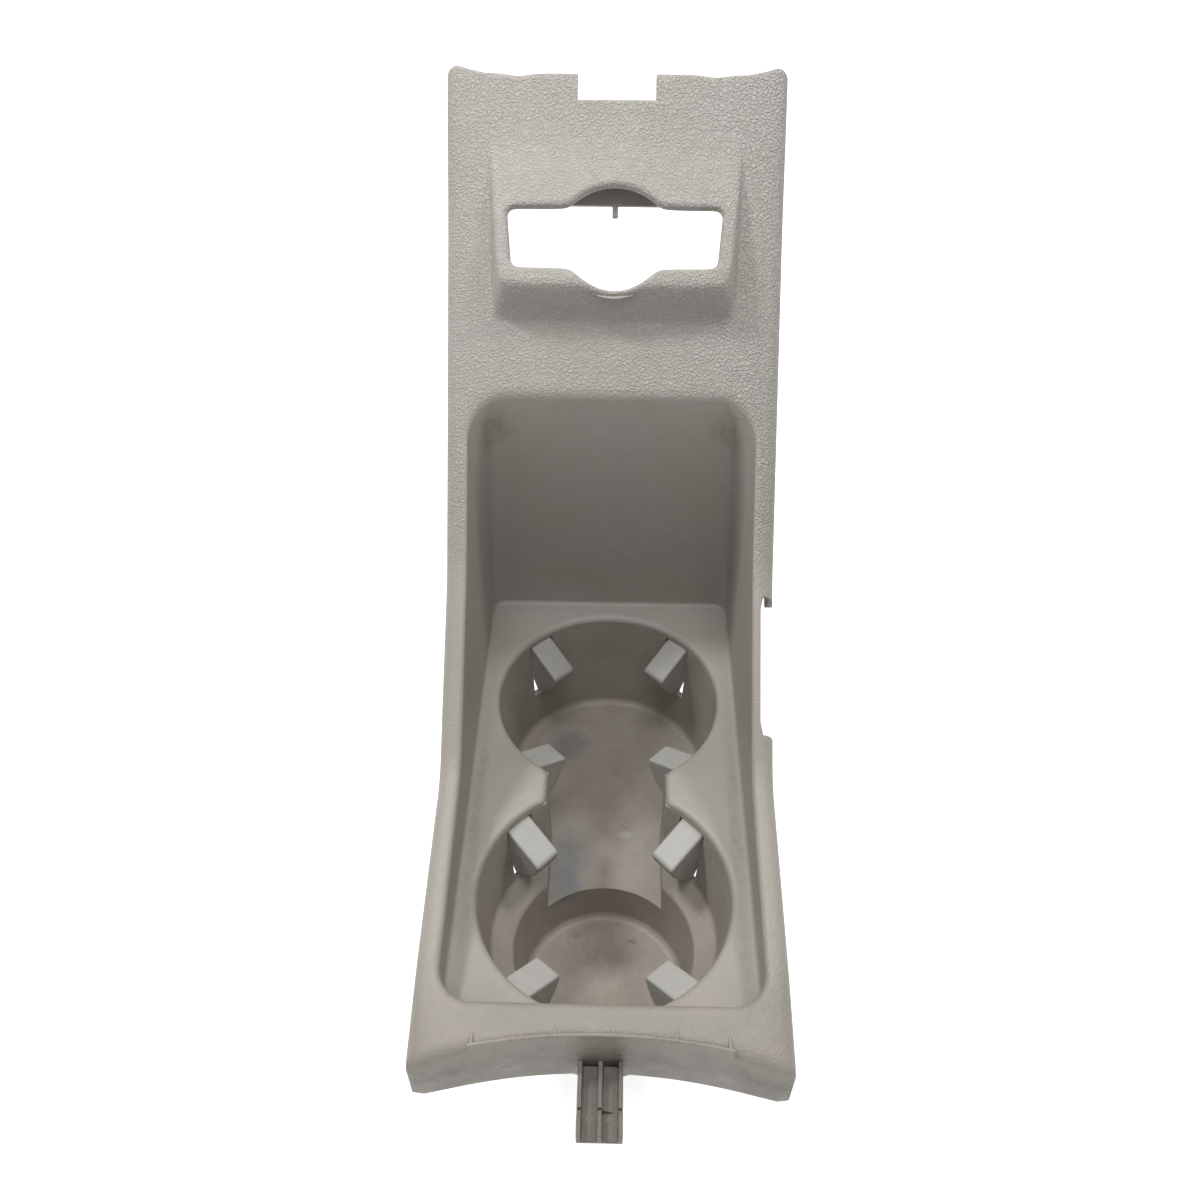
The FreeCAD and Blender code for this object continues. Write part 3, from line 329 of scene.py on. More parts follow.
# %% Finish: trim panel
def mark(centre, size, colour, strength, broken=0.6, speck=0.002):
    """Inputs of one placed mark, its centre and size in millimetres."""
    return {"Centre": [v * MM for v in centre], "Size": [v * MM for v in size], "Mark_colour": colour,
            "Strength": strength, "Break_up": broken, "Speck_size": speck}


panel_plastic, tree, shader, place = material("panel grained plastic")
plan = node(tree, "ShaderNodeSeparateXYZ", Vector=place).outputs
on_face = node(tree, "ShaderNodeAttribute", settings={"attribute_name": "on face"}).outputs["Fac"]
up_ramp = between(tree, plan["Y"], 0.078, 0.104, 0.3, 1.0)
to_right = between(tree, plan["X"], -0.02, 0.06, 0.85, 1.2)
cover = maths(tree, "MULTIPLY", maths(tree, "MULTIPLY", up_ramp, to_right),
              between(tree, on_face, 0.0, 1.0, 0.25, 1.0))
# painted light and shade: one plastic darkened toward the near end and deck, lightened up the ramp
base = colour_mix(tree, between(tree, plan["Y"], -0.058, -0.02), NEAR_SHADE_GREY, DECK_SHADE_GREY)
base = colour_mix(tree, between(tree, plan["Y"], 0.06, 0.16), base, WARM_GREY)
finish_plastic(tree, shader, place, base, DUSTY_GREY, 0.035, 0.45, 0.52, 0.12,
               cell=0.0014, depth=0.00034, cover=cover, crease_shade=0.16, marks=[
                   # painted shade darkening the near skirt and tongue
                   mark((0, -72, 64), (110, 26, 18), SKIRT_SHADE_BROWN, 0.8, 0.1, 0.003),
                   mark((0, -75, 68), (9, 6, 4), DIRT_AND_SHADE_BROWN, 0.75, 0.9, 0.0008),
                   # a darker brown line in the groove behind the near lip
                   mark((0, -57.4, 85), (41, 2.2, 3), DIRT_AND_SHADE_BROWN, 0.55, 0.7, 0.0015),
                   # painted shadow in the far top corners of the recess, outside the crossing lamp shadows
                   mark((-43, 125, 176), (9, 5, 12), DIRT_AND_SHADE_BROWN, 0.35, 0.5, 0.003),
                   mark((43, 125, 176), (9, 5, 12), DIRT_AND_SHADE_BROWN, 0.35, 0.5, 0.003),
                   # painted shade along the feet of the recess side walls
                   mark((-47, 20, 74), (3, 60, 2.5), DIRT_AND_SHADE_BROWN, 0.3, 0.5, 0.003),
                   mark((47, 20, 74), (3, 60, 2.5), DIRT_AND_SHADE_BROWN, 0.3, 0.5, 0.003)])

tub_plastic, tree, shader, place = material("tub plastic")
finish_plastic(tree, shader, place, (0.340, 0.312, 0.278, 1), (0.265, 0.228, 0.190, 1), 0.02, 0.6,
               0.5, 0.12, cell=0.0007, depth=0.00003, crease_shade=0.1, marks=[
                   mark((-17, 104, 21), (11, 12, 6), BLUE_FILM, 0.75, 0.25, 0.004),
                   mark((-15, 38, 21), (9, 26, 6), BLUE_FILM, 0.75, 0.25, 0.004),
                   # painted shade browning and darkening both well floors
                   mark((0, 2, 3), (34, 34, 4), FLOOR_SHADE_BROWN, 0.55, 0.4, 0.004),
                   mark((0, 92, 21), (42, 40, 4), FLOOR_SHADE_BROWN, 0.3, 0.4, 0.004),
                   mark((8, 58, 21), (5, 2, 3), PALE_SCUFF, 0.45, 0.6, 0.001),
                   mark((-12, 22, 3), (3, 2, 3), DIRT_AND_SHADE_BROWN, 0.8, 0.8, 0.001),
                   mark((11, 20, 3), (3, 2, 3), DIRT_AND_SHADE_BROWN, 0.8, 0.8, 0.001)])

flap_plastic, tree, shader, place = material("flap plastic")
finish_plastic(tree, shader, place, (0.375, 0.368, 0.342, 1), (0.31, 0.30, 0.275, 1), 0.012, 0.4,
               0.5, 0.1, cell=0.0005, depth=0.00002, crease_shade=0.1)

spring_steel, tree, shader, place = material("spring steel", 0.35)
shader.inputs["Metallic"].default_value = 1.0
tone = placed(tree, tone_group, Place=place, Base=(0.45, 0.44, 0.42, 1), Second=(0.30, 0.28, 0.26, 1),
              Amount=0.6, Roughness=0.34, Roughness_spread=0.2, Patch_size=0.004)
tree.links.new(tone.outputs["Color"], shader.inputs["Base Color"])
tree.links.new(tone.outputs["Roughness"], shader.inputs["Roughness"])

# %% [markdown]
# ## Surface helpers
# Every new piece is a grid of points worked out in whole arrays. A row is one
# closed or open path, and rows side by side make a skin of four-sided faces. The
# helpers below turn such grids into a mesh, join the grids of one moulding along
# their shared edges, and round a corner with one curve.

# %% Grids to meshes
def grid_faces(rows, columns, closed):
    """Quads of a rows x columns grid; a closed grid joins its last column to its first."""
    index = np.arange(rows * columns).reshape(rows, columns)
    across = np.roll(index, -1, axis=1) if closed else index[:, 1:]
    here = index if closed else index[:, :-1]
    return np.stack([here[:-1], across[:-1], across[1:], here[1:]], axis=-1).reshape(-1, 4)


def joined(grids):
    """One point array and one face array from several (rows x columns x 3 points, closed) grids."""
    points, faces, start = [], [], 0
    for grid, closed in grids:
        rows, columns = grid.shape[:2]
        points.append(grid.reshape(-1, 3))
        faces.append(grid_faces(rows, columns, closed) + start)
        start += rows * columns
    return np.vstack(points), np.vstack(faces)


def mesh_piece(name, points, faces, finish, attributes=None):
    """A new piece at the origin from points in millimetres, doubles merged and normals made even."""
    mesh = bpy.data.meshes.new(name)
    mesh.from_pydata((np.asarray(points) * MM).tolist(), [], np.asarray(faces).tolist())
    for label, values in (attributes or {}).items():
        mesh.attributes.new(label, "FLOAT", "POINT").data.foreach_set(
            "value", np.asarray(values, dtype=np.float32))
    work = bmesh.new()
    work.from_mesh(mesh)
    bmesh.ops.remove_doubles(work, verts=work.verts, dist=2e-6)
    bmesh.ops.dissolve_degenerate(work, edges=work.edges, dist=1e-7)
    bmesh.ops.recalc_face_normals(work, faces=work.faces)
    work.to_mesh(mesh)
    work.free()
    mesh.shade_smooth()
    mesh.materials.append(finish)
    piece = bpy.data.objects.new(name, mesh)
    bpy.context.scene.collection.objects.link(piece)
    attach(piece, "housing")
    print(name, len(mesh.vertices), "points", len(mesh.polygons), "faces")
    return piece


def rounded_corner(start, corner, finish, steps):
    """Points on a conic from start to finish that leaves towards corner.

    Each point is the weighted mean of start, corner and finish with weights
    (1-t)^2, 2wt(1-t) and t^2. With w the sine of half the corner's angle it is a
    true circle when both legs are equally long.
    """
    legs = [start - corner, finish - corner]
    ways = [leg / np.linalg.norm(leg, axis=-1, keepdims=True).clip(1e-9) for leg in legs]
    weight = np.sqrt(((1 - (ways[0] * ways[1]).sum(-1)) / 2).clip(0, 1))[None, :, None]
    t = np.linspace(0, 1, steps)[:, None, None]
    parts = (1 - t) ** 2, 2 * weight * t * (1 - t), t**2
    return (parts[0] * start + parts[1] * corner + parts[2] * finish) / sum(parts)


def soft_top(a, b, width):
    """The larger of a and b with the kink rounded: half of a + b + root((a-b)^2 + width^2)."""
    return 0.5 * (a + b + np.sqrt((a - b) ** 2 + width**2))


def soft_low(a, b, width):
    """The smaller of a and b with the kink rounded."""
    return -soft_top(-a, -b, width)


def ease(value, low, high):
    """0 below low, 1 above high and a smooth S between them."""
    t = np.clip((value - low) / (high - low), 0, 1)
    return t * t * (3 - 2 * t)


# %% [markdown]
# ## The bent sheet
# Seen from the side, the panel is one long line: a gently sloping near deck, a
# knee, a steeper run, a soft bend and the straight ramp. Its heading is constant
# on each straight and grows evenly round each bend, so adding up small steps in
# that heading gives the whole line. A point of the sheet is then a place across
# (x), a distance along the line (s), and a height square to it. The height holds
# the sides' gentle roll and the raised switch pod.

# %% Side line of the sheet
HALF_WIDTH, WALL = 59.0, 2.6
START = np.array([-65.0, 83.5])
KNEE, BEND = np.array([31.0, 98.5]), np.array([84.2, 145.0])
RAMP_ANGLE, RAMP_LENGTH = math.radians(50.8), 176.0
KNEE_ROUND, BEND_ROUND = 28.0, 90.0
deck_angle = math.atan2(*(KNEE - START)[::-1])
middle_angle = math.atan2(*(BEND - KNEE)[::-1])
knee_trim = KNEE_ROUND * math.tan((middle_angle - deck_angle) / 2)
bend_trim = BEND_ROUND * math.tan((RAMP_ANGLE - middle_angle) / 2)
runs = np.cumsum([0, np.linalg.norm(KNEE - START) - knee_trim, KNEE_ROUND * (middle_angle - deck_angle),
                  np.linalg.norm(BEND - KNEE) - knee_trim - bend_trim,
                  BEND_ROUND * (RAMP_ANGLE - middle_angle), RAMP_LENGTH - bend_trim])
line_s = np.arange(0, runs[-1] + 0.2, 0.2)
line_heading = np.interp(line_s, runs, [deck_angle, deck_angle, middle_angle, middle_angle,
                                        RAMP_ANGLE, RAMP_ANGLE])
steps = np.diff(line_s)
mid_heading = (line_heading[1:] + line_heading[:-1]) / 2
line_y = START[0] + np.concatenate([[0], np.cumsum(np.cos(mid_heading) * steps)])
line_z = START[1] + np.concatenate([[0], np.cumsum(np.sin(mid_heading) * steps)])
print("side line is", round(runs[-1], 1), "mm long and ends at", line_y[-1].round(1), line_z[-1].round(1))


def s_of_y(y):
    """Distance along the side line of a place at plan distance y."""
    return np.interp(y, line_y, line_s)


def s_up_ramp(along):
    """Distance along the side line of a place so far up the ramp from its corner."""
    return runs[4] + along - bend_trim


# %% Pod and roll
POD_RISE, POD_BROW, POD_HIGH, POD_LOW, POD_EYE = 11.5, 101.0, 148.0, 87.6, 115.5


def pod_height(x, along):
    """Height of the pod over the ramp.

    The pod is what lies under four slopes at once: its face, falling from the
    brow to nothing at the top; its lower wall, pushed out round the eye; and its
    two steep sides. Each meeting is rounded, most of all the lower corners, and so
    is the foot where it leaves the ramp.
    """
    face = (POD_HIGH - along) * POD_RISE / (POD_HIGH - POD_BROW)
    low_wall = (along - POD_LOW) * 1.15
    from_eye = np.hypot(x, along - POD_EYE)
    lobe = (25.4 - from_eye) * 1.6
    side = (43.2 + 0.028 * (along - 116) - np.abs(x)) * 4.0
    walls = soft_low(soft_top(low_wall, lobe, 1.2), side, 7.0)
    shape = soft_low(face, walls, 2.6)
    return soft_top(shape, 0, 1.3) - 0.1


def side_roll(x, s):
    """How far the sheet sinks towards its sides: a quarter-circle-like fall over the outer band."""
    out = np.clip((np.abs(x) - 43.0) / 16.0, 0, 1.05)
    ramp_share = ease(s, runs[2], runs[4])
    near_share = 1 - ease(s, 2.0, 34.0)
    depth = 2.2 + 2.0 * ramp_share + 2.0 * near_share
    top_share = ease(s, runs[-1] - 60.0, runs[-1])
    return depth * (1 - 0.6 * top_share) * out**2.2


def sheet(x, s, lift=0.0):
    """Points of the sheet: the side line at s, moved square to it by roll, pod and lift."""
    x, s = np.broadcast_arrays(np.asarray(x, float), np.asarray(s, float))
    heading = np.interp(s, line_s, line_heading)
    along = s - runs[4] + bend_trim
    height = pod_height(x, along) - side_roll(x, s) + lift
    return np.stack([x, np.interp(s, line_s, line_y) - height * np.sin(heading),
                     np.interp(s, line_s, line_z) + height * np.cos(heading)], axis=-1)


# %% [markdown]
# ## Paths round the openings
# The recess, its floor and the two joined cup holes are nested closed paths. Each
# is seen from the middle of the recess: for a heading round that middle, a path
# gives one radius. The same headings on every path pair their points, and the
# skin between two paths is straight lines between the pairs.

# %% Closed paths
CENTRE_Y = 45.0
PLATE_Z, RECESS_TOP = 73.5, 123.8
RECESS_HALF, RECESS_NEAR, RECESS_FAR, RECESS_CORNER = 51.0, -45.5, 143.0, 11.0


def box_path(half, low, high, near_corner, far_corner, steps=40):
    """A box in plan with elliptic corners, anticlockwise, as points (x, y)."""
    turn = np.linspace(0, math.pi / 2, steps)
    corners = []
    for sign_x, y, (rx, ry), start in ((1, low, near_corner, -0.5), (1, high, far_corner, 0),
                                       (-1, high, far_corner, 0.5), (-1, low, near_corner, 1)):
        angle = start * math.pi + turn
        sign_y = -1 if y == low else 1
        centre = sign_x * (half - rx), y - sign_y * ry
        corners.append(np.stack([centre[0] + rx * np.cos(angle), centre[1] + ry * np.sin(angle)], -1))
    loop = np.vstack(corners)
    loop = np.vstack([loop, loop[:1]])
    far = np.concatenate([[0], np.cumsum(np.hypot(*np.diff(loop, axis=0).T))])
    even = np.linspace(0, far[-1], 3000)[:-1]
    return np.stack([np.interp(even, far, loop[:, 0]), np.interp(even, far, loop[:, 1])], -1)


def seen_at(angles, path, centre_y=CENTRE_Y):
    """Points of a closed path at the given headings round the centre, by its polar radius."""
    heading = np.arctan2(path[:, 1] - centre_y, path[:, 0])
    reach = np.hypot(path[:, 0], path[:, 1] - centre_y)
    radius = np.interp(angles, heading[np.argsort(heading)], reach[np.argsort(heading)],
                       period=2 * math.pi)
    return np.stack([radius * np.cos(angles), centre_y + radius * np.sin(angles)], -1)


def polar_path(reach_of, centre_y):
    """A closed path from its radius as a function of heading, at 4000 even headings."""
    turn = np.linspace(-math.pi, math.pi, 4001)[:-1]
    reach = reach_of(turn)
    return np.stack([reach * np.cos(turn), centre_y + reach * np.sin(turn)], -1)


def hole_reach(turn, radius=44.0, half_pitch=45.0, neck=22.3):
    """Two circles joined by a neck, as radius against heading: the larger of circle and neck."""
    flat = np.abs(np.cos(turn))
    circle = half_pitch * np.abs(np.sin(turn)) + np.sqrt((radius**2 - (half_pitch * flat) ** 2).clip(0))
    return soft_top(circle, neck / flat.clip(0.6), 2.4)


def grown(path, amount):
    """The path moved square to itself by amount, outwards where it is positive."""
    along = np.roll(path, -3, axis=0) - np.roll(path, 3, axis=0)
    square = np.stack([along[:, 1], -along[:, 0]], -1)
    return path + amount * square / np.linalg.norm(square, axis=1, keepdims=True)


def at_height(path, z):
    """Plan points lifted to height z."""
    return np.column_stack([path, np.broadcast_to(z, len(path))])


def toward(start, finish, length):
    """Points a set length from start in the direction of finish."""
    way = finish - start
    return start + way / np.linalg.norm(way, axis=-1, keepdims=True) * length


# %% Outer edge of the sheet
RIM, SKIRT_RADIUS, SKIRT_HOLLOW = 4.0, 197.9, 9.0
JOIN_S = s_up_ramp(78.0)
NOTCH_LOW, NOTCH_HIGH = 42.0, 79.0
END_NOTCH_HALF, END_NOTCH_DEEP = 13.5, 13.0
FLANGE_DROP, FLANGE_LEAST = 11.0, 0.6
end_out = HALF_WIDTH - RIM


def near_edge(x):
    """Plan distance of the curved near edge: an arc hollowed by 9 mm between the corners."""
    return START[0] + SKIRT_HOLLOW - SKIRT_RADIUS + np.sqrt(SKIRT_RADIUS**2 - x**2)


def near_round(x):
    """Radius of the near edge: soft outboard, tight behind the lip."""
    return 2.7 + (RIM - 2.7) * ease(np.abs(x), 38.0, 44.0)


def far_edge(x):
    """Distance up the ramp of the far edge: level in the middle, rising to pointed outer ears."""
    hollow = 4.4 * (1 - np.clip((np.abs(x) - 44.0) / 15.0, 0, 1) ** 1.5)
    scallop = 0.9 * np.exp(-(((np.abs(x) - 34) / 5.0) ** 2))
    return RAMP_LENGTH - hollow - scallop


def side_edge(s):
    """X of the right side's edge of the sheet, stepped in along the side notch."""
    y = np.interp(s, line_s, line_y)
    inside = ease(y, NOTCH_LOW, NOTCH_LOW + 4) * (1 - ease(y, NOTCH_HIGH - 4, NOTCH_HIGH))
    return end_out - 0.9 * inside


across = np.linspace(-end_out, end_out, 83)
near_s = s_of_y(near_edge(across)) + near_round(across)
notch_y_s = s_of_y(np.array([NOTCH_LOW, NOTCH_HIGH]))
side_s = np.unique(np.concatenate([np.linspace(near_s[-1], JOIN_S, 290), notch_y_s]).round(6))
ramp_s = np.linspace(JOIN_S, s_up_ramp(far_edge(end_out)), 106)
lower_edge = np.vstack([
    np.column_stack([across[:-1], near_s[:-1]]),
    np.column_stack([side_edge(side_s[:-1]), side_s[:-1]]),
    np.column_stack([across[::-1][:-1], np.full(len(across) - 1, JOIN_S)]),
    np.column_stack([np.full(len(side_s) - 1, -end_out), side_s[::-1][:-1]]),
])
print("edge of the recess part has", len(lower_edge), "points")

# %% [markdown]
# ## Deck, rim and recess
# From the cup holes outward the moulding runs: a short edge down the hole, the
# hole's soft lip, the flat cup plate, a rounded foot, the recess wall, a rounded
# lip, and the sheet out to the rim. One grid holds all of it, so no seam shows.

# %% Grid of the recess part
edge_plan = np.column_stack([lower_edge[:, 0], np.interp(lower_edge[:, 1], line_s, line_y)])
angles = np.arctan2(edge_plan[:, 1] - CENTRE_Y, edge_plan[:, 0])
hole_lip, foot_round, top_round = 2.6, 1.9, 2.8
LIP_DROP = 0.96
hole_line = polar_path(hole_reach, CENTRE_Y)
foot_line = box_path(RECESS_HALF, RECESS_NEAR, RECESS_FAR, (RECESS_CORNER, RECESS_CORNER), (6, 6))
top_line = box_path(RECESS_HALF, RECESS_NEAR, RECESS_TOP, (RECESS_CORNER, RECESS_CORNER), (14, 9.5))
lip_line = box_path(RECESS_HALF + top_round, RECESS_NEAR - top_round, RECESS_TOP + top_round * 0.7,
                    (RECESS_CORNER + top_round, RECESS_CORNER + top_round),
                    (14 + top_round, 9.5 + top_round * 0.7))


def on_sheet(path):
    """Plan points carried up to the sheet."""
    return sheet(path[:, 0], s_of_y(path[:, 1]))


top_edge = on_sheet(seen_at(angles, top_line))
foot_edge = at_height(seen_at(angles, foot_line), PLATE_Z)
hole_edge = at_height(seen_at(angles, hole_line), PLATE_Z)
lip_plan = seen_at(angles, lip_line)
lip_place = np.column_stack([lip_plan[:, 0], s_of_y(lip_plan[:, 1])])
plate_in = at_height(seen_at(angles, grown(hole_line, hole_lip)), PLATE_Z)
plate_out = at_height(seen_at(angles, grown(foot_line, -foot_round)), PLATE_Z)
UP = np.array([0, 0, 1.0])
rows = [hole_edge[None] - UP * WALL,
        rounded_corner(hole_edge - UP * hole_lip * LIP_DROP, hole_edge, plate_in, 7),
        rounded_corner(plate_out, foot_edge, toward(foot_edge, top_edge, foot_round), 7),
        rounded_corner(toward(top_edge, foot_edge, top_round), top_edge, sheet(*lip_place.T), 8)]
share = np.linspace(0, 1, 10)[1:, None, None]
spread = lip_place + share * (lower_edge - lip_place)
rows.append(sheet(spread[..., 0], spread[..., 1]))
recess_grid = np.vstack(rows)
print("recess grid", recess_grid.shape)

# %% [markdown]
# ## Ramp and switch pod
# The pod part is a second grid, from the switch opening out to the ramp's edges.
# Its lowest side has the same points as the top side of the first grid, and the
# two are merged there.

# %% Grid of the ramp part
notch_ends = [-END_NOTCH_HALF, END_NOTCH_HALF]
far_x = np.unique(np.concatenate([np.linspace(-end_out, end_out, 83), notch_ends]).round(6))
far_s = s_up_ramp(far_edge(far_x))
in_notch = np.abs(far_x) < END_NOTCH_HALF
notch_floor = s_up_ramp(RAMP_LENGTH - END_NOTCH_DEEP)
far_right = np.column_stack([far_x, far_s])[far_x >= END_NOTCH_HALF]
far_left = np.column_stack([far_x, far_s])[far_x <= -END_NOTCH_HALF]
notch_side = np.linspace(0, 1, 9)[1:-1, None]
right_corner = np.array([END_NOTCH_HALF, notch_floor])
left_corner = np.array([-END_NOTCH_HALF, notch_floor])
floor_line = np.column_stack([far_x[in_notch], np.full(in_notch.sum(), notch_floor)])
right_down = far_right[0] + notch_side * (right_corner - far_right[0])
left_up = left_corner + notch_side * (far_left[-1] - left_corner)
far_line = np.vstack([far_right[::-1], right_down, [right_corner], floor_line[::-1],
                      [left_corner], left_up, far_left[::-1]])
upper_edge = np.vstack([
    np.column_stack([across[:-1], np.full(len(across) - 1, JOIN_S)]),
    np.column_stack([np.full(len(ramp_s) - 1, end_out), ramp_s[:-1]]),
    far_line[:-1],
    np.column_stack([np.full(len(ramp_s) - 1, -end_out), ramp_s[::-1][:-1]]),
])
eye_s = s_up_ramp(POD_EYE)
counts = [len(across) - 1, len(ramp_s) - 1, len(far_right) - 1, len(right_down) + 1,
          len(floor_line) + 1, len(left_up) + 1, len(far_left) - 1, len(ramp_s) - 1]
corner = math.degrees(math.atan2(JOIN_S - eye_s, end_out))
headings = np.radians([-180 - corner, corner, 14, 39, 41, 139, 141, 166, 180 - corner])
angles = np.concatenate([np.linspace(first, last, count, endpoint=False) for first, last, count
                         in zip(headings, headings[1:], counts)])
slot_line = box_path(36.0, eye_s - 10.7, eye_s + 10.3, (3, 3), (3, 3))


def opening_reach(turn):
    """The slot and the eye together: the larger of their two radii, with the corner between them soft."""
    slot = seen_at(turn, slot_line, eye_s)
    return soft_top(np.hypot(slot[:, 0], slot[:, 1] - eye_s), 18.0, 2.6)


opening_line = polar_path(opening_reach, eye_s)
opening_line[:, 0] *= 1 + 0.0028 * (opening_line[:, 1] - eye_s)
open_lip = 1.9
opening = seen_at(angles, opening_line, eye_s)
face_angle = RAMP_ANGLE - math.atan(POD_RISE / (POD_HIGH - POD_BROW))
face_up = np.array([0, -math.sin(face_angle), math.cos(face_angle)])
rim_place = seen_at(angles, grown(opening_line, open_lip), eye_s)
opening_edge = sheet(*opening.T)
rows = [opening_edge[None] - face_up * WALL,
        rounded_corner(opening_edge - face_up * open_lip, opening_edge, sheet(*rim_place.T), 6)]
share = np.linspace(0, 1, 35)[1:, None, None]
spread = rim_place + share * (upper_edge - rim_place)
rows.append(sheet(spread[..., 0], spread[..., 1]))
ramp_grid = np.vstack(rows)
print("ramp grid", ramp_grid.shape)

# %% [markdown]
# ## Rim and skirt
# Along the sides the sheet turns down over a rounded rim into a flange, and at the
# near end into a deeper curved skirt. The near corners fan the same profile round.

# %% Grid of the rim
fan = np.linspace(0, math.pi / 2, 7)[1:-1]


def rim_columns(place, way, radius, depth):
    """Rim profile at each place: a quarter turn from the sheet to plumb, then down to depth."""
    inner = sheet(*place.T)
    corner_place = place + way * radius[:, None]
    corner = sheet(*corner_place.T)
    arc = rounded_corner(inner, corner, corner - UP * radius[:, None], 6)
    low = np.stack([corner - UP * (radius + share * (depth - radius))[:, None]
                    for share in (0.5, 1.0)])
    return np.vstack([arc, low])


def flange_depth(place, way):
    """11 mm below the unrolled side line, less the roll, and rounded off beside the right notch."""
    corner = place + way * RIM
    sunk = side_roll(np.full(len(place), HALF_WIDTH), corner[:, 1])
    from_notch = np.minimum(np.abs(place[:, 1] - notch_y_s[0]), np.abs(place[:, 1] - notch_y_s[1]))
    t = np.where(place[:, 0] > 0, np.clip(from_notch / 5.0, 0, 1), 1)
    most = FLANGE_DROP - RIM - FLANGE_LEAST - sunk * 0.6
    return RIM + FLANGE_LEAST + most * np.sqrt(1 - (1 - t) ** 2)


def side_strip(s, side):
    """Rim along one side between the given distances along the line."""
    place = np.column_stack([np.full(len(s), side * end_out), s])
    way = np.tile([side, 0.0], (len(s), 1))
    return rim_columns(place, way, np.full(len(s), RIM), flange_depth(place, way))


skirt_place = np.vstack([np.tile([-end_out, near_s[0]], (5, 1)),
                         np.column_stack([across, near_s]),
                         np.tile([end_out, near_s[-1]], (5, 1))])
square = 1 / np.maximum(np.cos(fan), np.sin(fan))[:, None] ** 0.85
corner_way = np.column_stack([np.cos(fan), -np.sin(fan)]) * square
skirt_way = np.vstack([corner_way * [-1, 1], np.tile([0, -1.0], (len(across), 1)),
                       corner_way[::-1]])
skirt_radius = np.concatenate([np.full(5, RIM), near_round(across), np.full(5, RIM)])
skirt_corner = sheet(*(skirt_place + skirt_way * skirt_radius[:, None]).T)
skirt_depth = skirt_corner[:, 2] - 58.5
skirt = rim_columns(skirt_place, skirt_way, skirt_radius, skirt_depth)
all_side = np.unique(np.concatenate([side_s, ramp_s]).round(6))
left = side_strip(all_side, -1)
right_near = side_strip(all_side[all_side <= notch_y_s[0] + 1e-5], 1)
right_far = side_strip(all_side[all_side >= notch_y_s[1] - 1e-5], 1)
lip_rows = np.concatenate([np.zeros(15), np.linspace(0, 1, 8), np.ones(len(recess_grid) - 23)])
on_face = np.repeat(lip_rows, recess_grid.shape[1])
points, faces = joined([(recess_grid, True), (ramp_grid, True), (left[:, ::-1], False),
                        (np.concatenate([left[:, :1], skirt, right_near[:, :1]], axis=1), False),
                        (right_near, False), (right_far, False)])
print("shell", points.shape, "low", points.min(0).round(1), "high", points.max(0).round(1))

# %% Panel shell
on_face = np.concatenate([on_face, np.ones(len(points) - len(on_face))])
shell = mesh_piece("panel_shell", points, faces, panel_plastic, attributes={"on face": on_face})
wall = shell.modifiers.new("wall", "SOLIDIFY")
wall.thickness, wall.offset, wall.use_quality_normals = WALL * MM, -1.0, True
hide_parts("trim_panel")

# %% [markdown]
# ## Lip, tongue and fixings
# Small solid features are straight or curved bars with a set outline. An outline
# swept along a path, closed at both ends, makes each one, and a bevel softens the
# edges that a mould would leave soft.

# %% Swept bars
SHARP_ANGLE = math.radians(35)


def swept(outline, origins, across_way, up_way):
    """Closed bar: outline point (u, v) at each origin becomes origin + u * across + v * up."""
    outline = np.asarray(outline, float)
    origins, across_way, up_way = (np.atleast_2d(np.asarray(a, float)) for a in (origins, across_way, up_way))
    grid = (origins[:, None] + outline[None, :, :1] * across_way[:, None]
            + outline[None, :, 1:] * up_way[:, None])
    count = len(outline)
    faces = grid_faces(len(grid), count, True).tolist()
    faces.append(list(range(count))[::-1])
    faces.append([(len(grid) - 1) * count + i for i in range(count)])
    return grid.reshape(-1, 3), faces


def bars(name, parts, finish, bevel):
    """One piece from several swept bars, its sharp edges bevelled."""
    all_points, all_faces, start = [], [], 0
    for bar_points, bar_faces in parts:
        all_points.append(bar_points)
        all_faces += [[i + start for i in face] for face in bar_faces]
        start += len(bar_points)
    mesh = bpy.data.meshes.new(name)
    mesh.from_pydata((np.vstack(all_points) * MM).tolist(), [], all_faces)
    work = bmesh.new()
    work.from_mesh(mesh)
    bmesh.ops.remove_doubles(work, verts=work.verts, dist=2e-6)
    bmesh.ops.recalc_face_normals(work, faces=work.faces)
    work.to_mesh(mesh)
    work.free()
    mesh.materials.append(finish)
    piece = bpy.data.objects.new(name, mesh)
    bpy.context.scene.collection.objects.link(piece)
    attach(piece, "housing")
    soft = piece.modifiers.new("soft edges", "BEVEL")
    soft.width, soft.segments, soft.limit_method = bevel * MM, 2, "ANGLE"
    soft.angle_limit = SHARP_ANGLE
    mesh.shade_smooth()
    mesh.set_sharp_from_angle(angle=SHARP_ANGLE)
    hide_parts("trim_panel")


# %% Near lip and its ribs
LIP_HALF, LIP_TOP, LIP_WALL = 40.0, 85.5, 1.2
lip_x = np.linspace(-LIP_HALF, LIP_HALF, 61)
lip_origins = np.column_stack([lip_x, near_edge(lip_x), np.full(61, LIP_TOP)])
radial = lip_origins - [0, START[0] + SKIRT_HOLLOW - SKIRT_RADIUS, LIP_TOP]
radial /= np.linalg.norm(radial, axis=1, keepdims=True)
parts = [swept([(0.02, -6), (LIP_WALL, -6), (LIP_WALL, 0), (0.02, 0)], lip_origins, radial,
               np.tile(UP, (61, 1)))]
for rib_x in (-38.8, -14.0, 3.9, 22.9, 38.8):
    rib_y = near_edge(np.array([rib_x]))[0]
    parts.append(swept([(-0.6, -2.9), (0.6, -2.9), (0.6, -0.2), (-0.6, -0.2)],
                       [(rib_x, rib_y + 0.7, LIP_TOP), (rib_x, rib_y + 4.6, LIP_TOP)],
                       [(1, 0, 0)] * 2, [(0, 0, 1)] * 2))
bars("near_lip", parts, panel_plastic, 0.35)

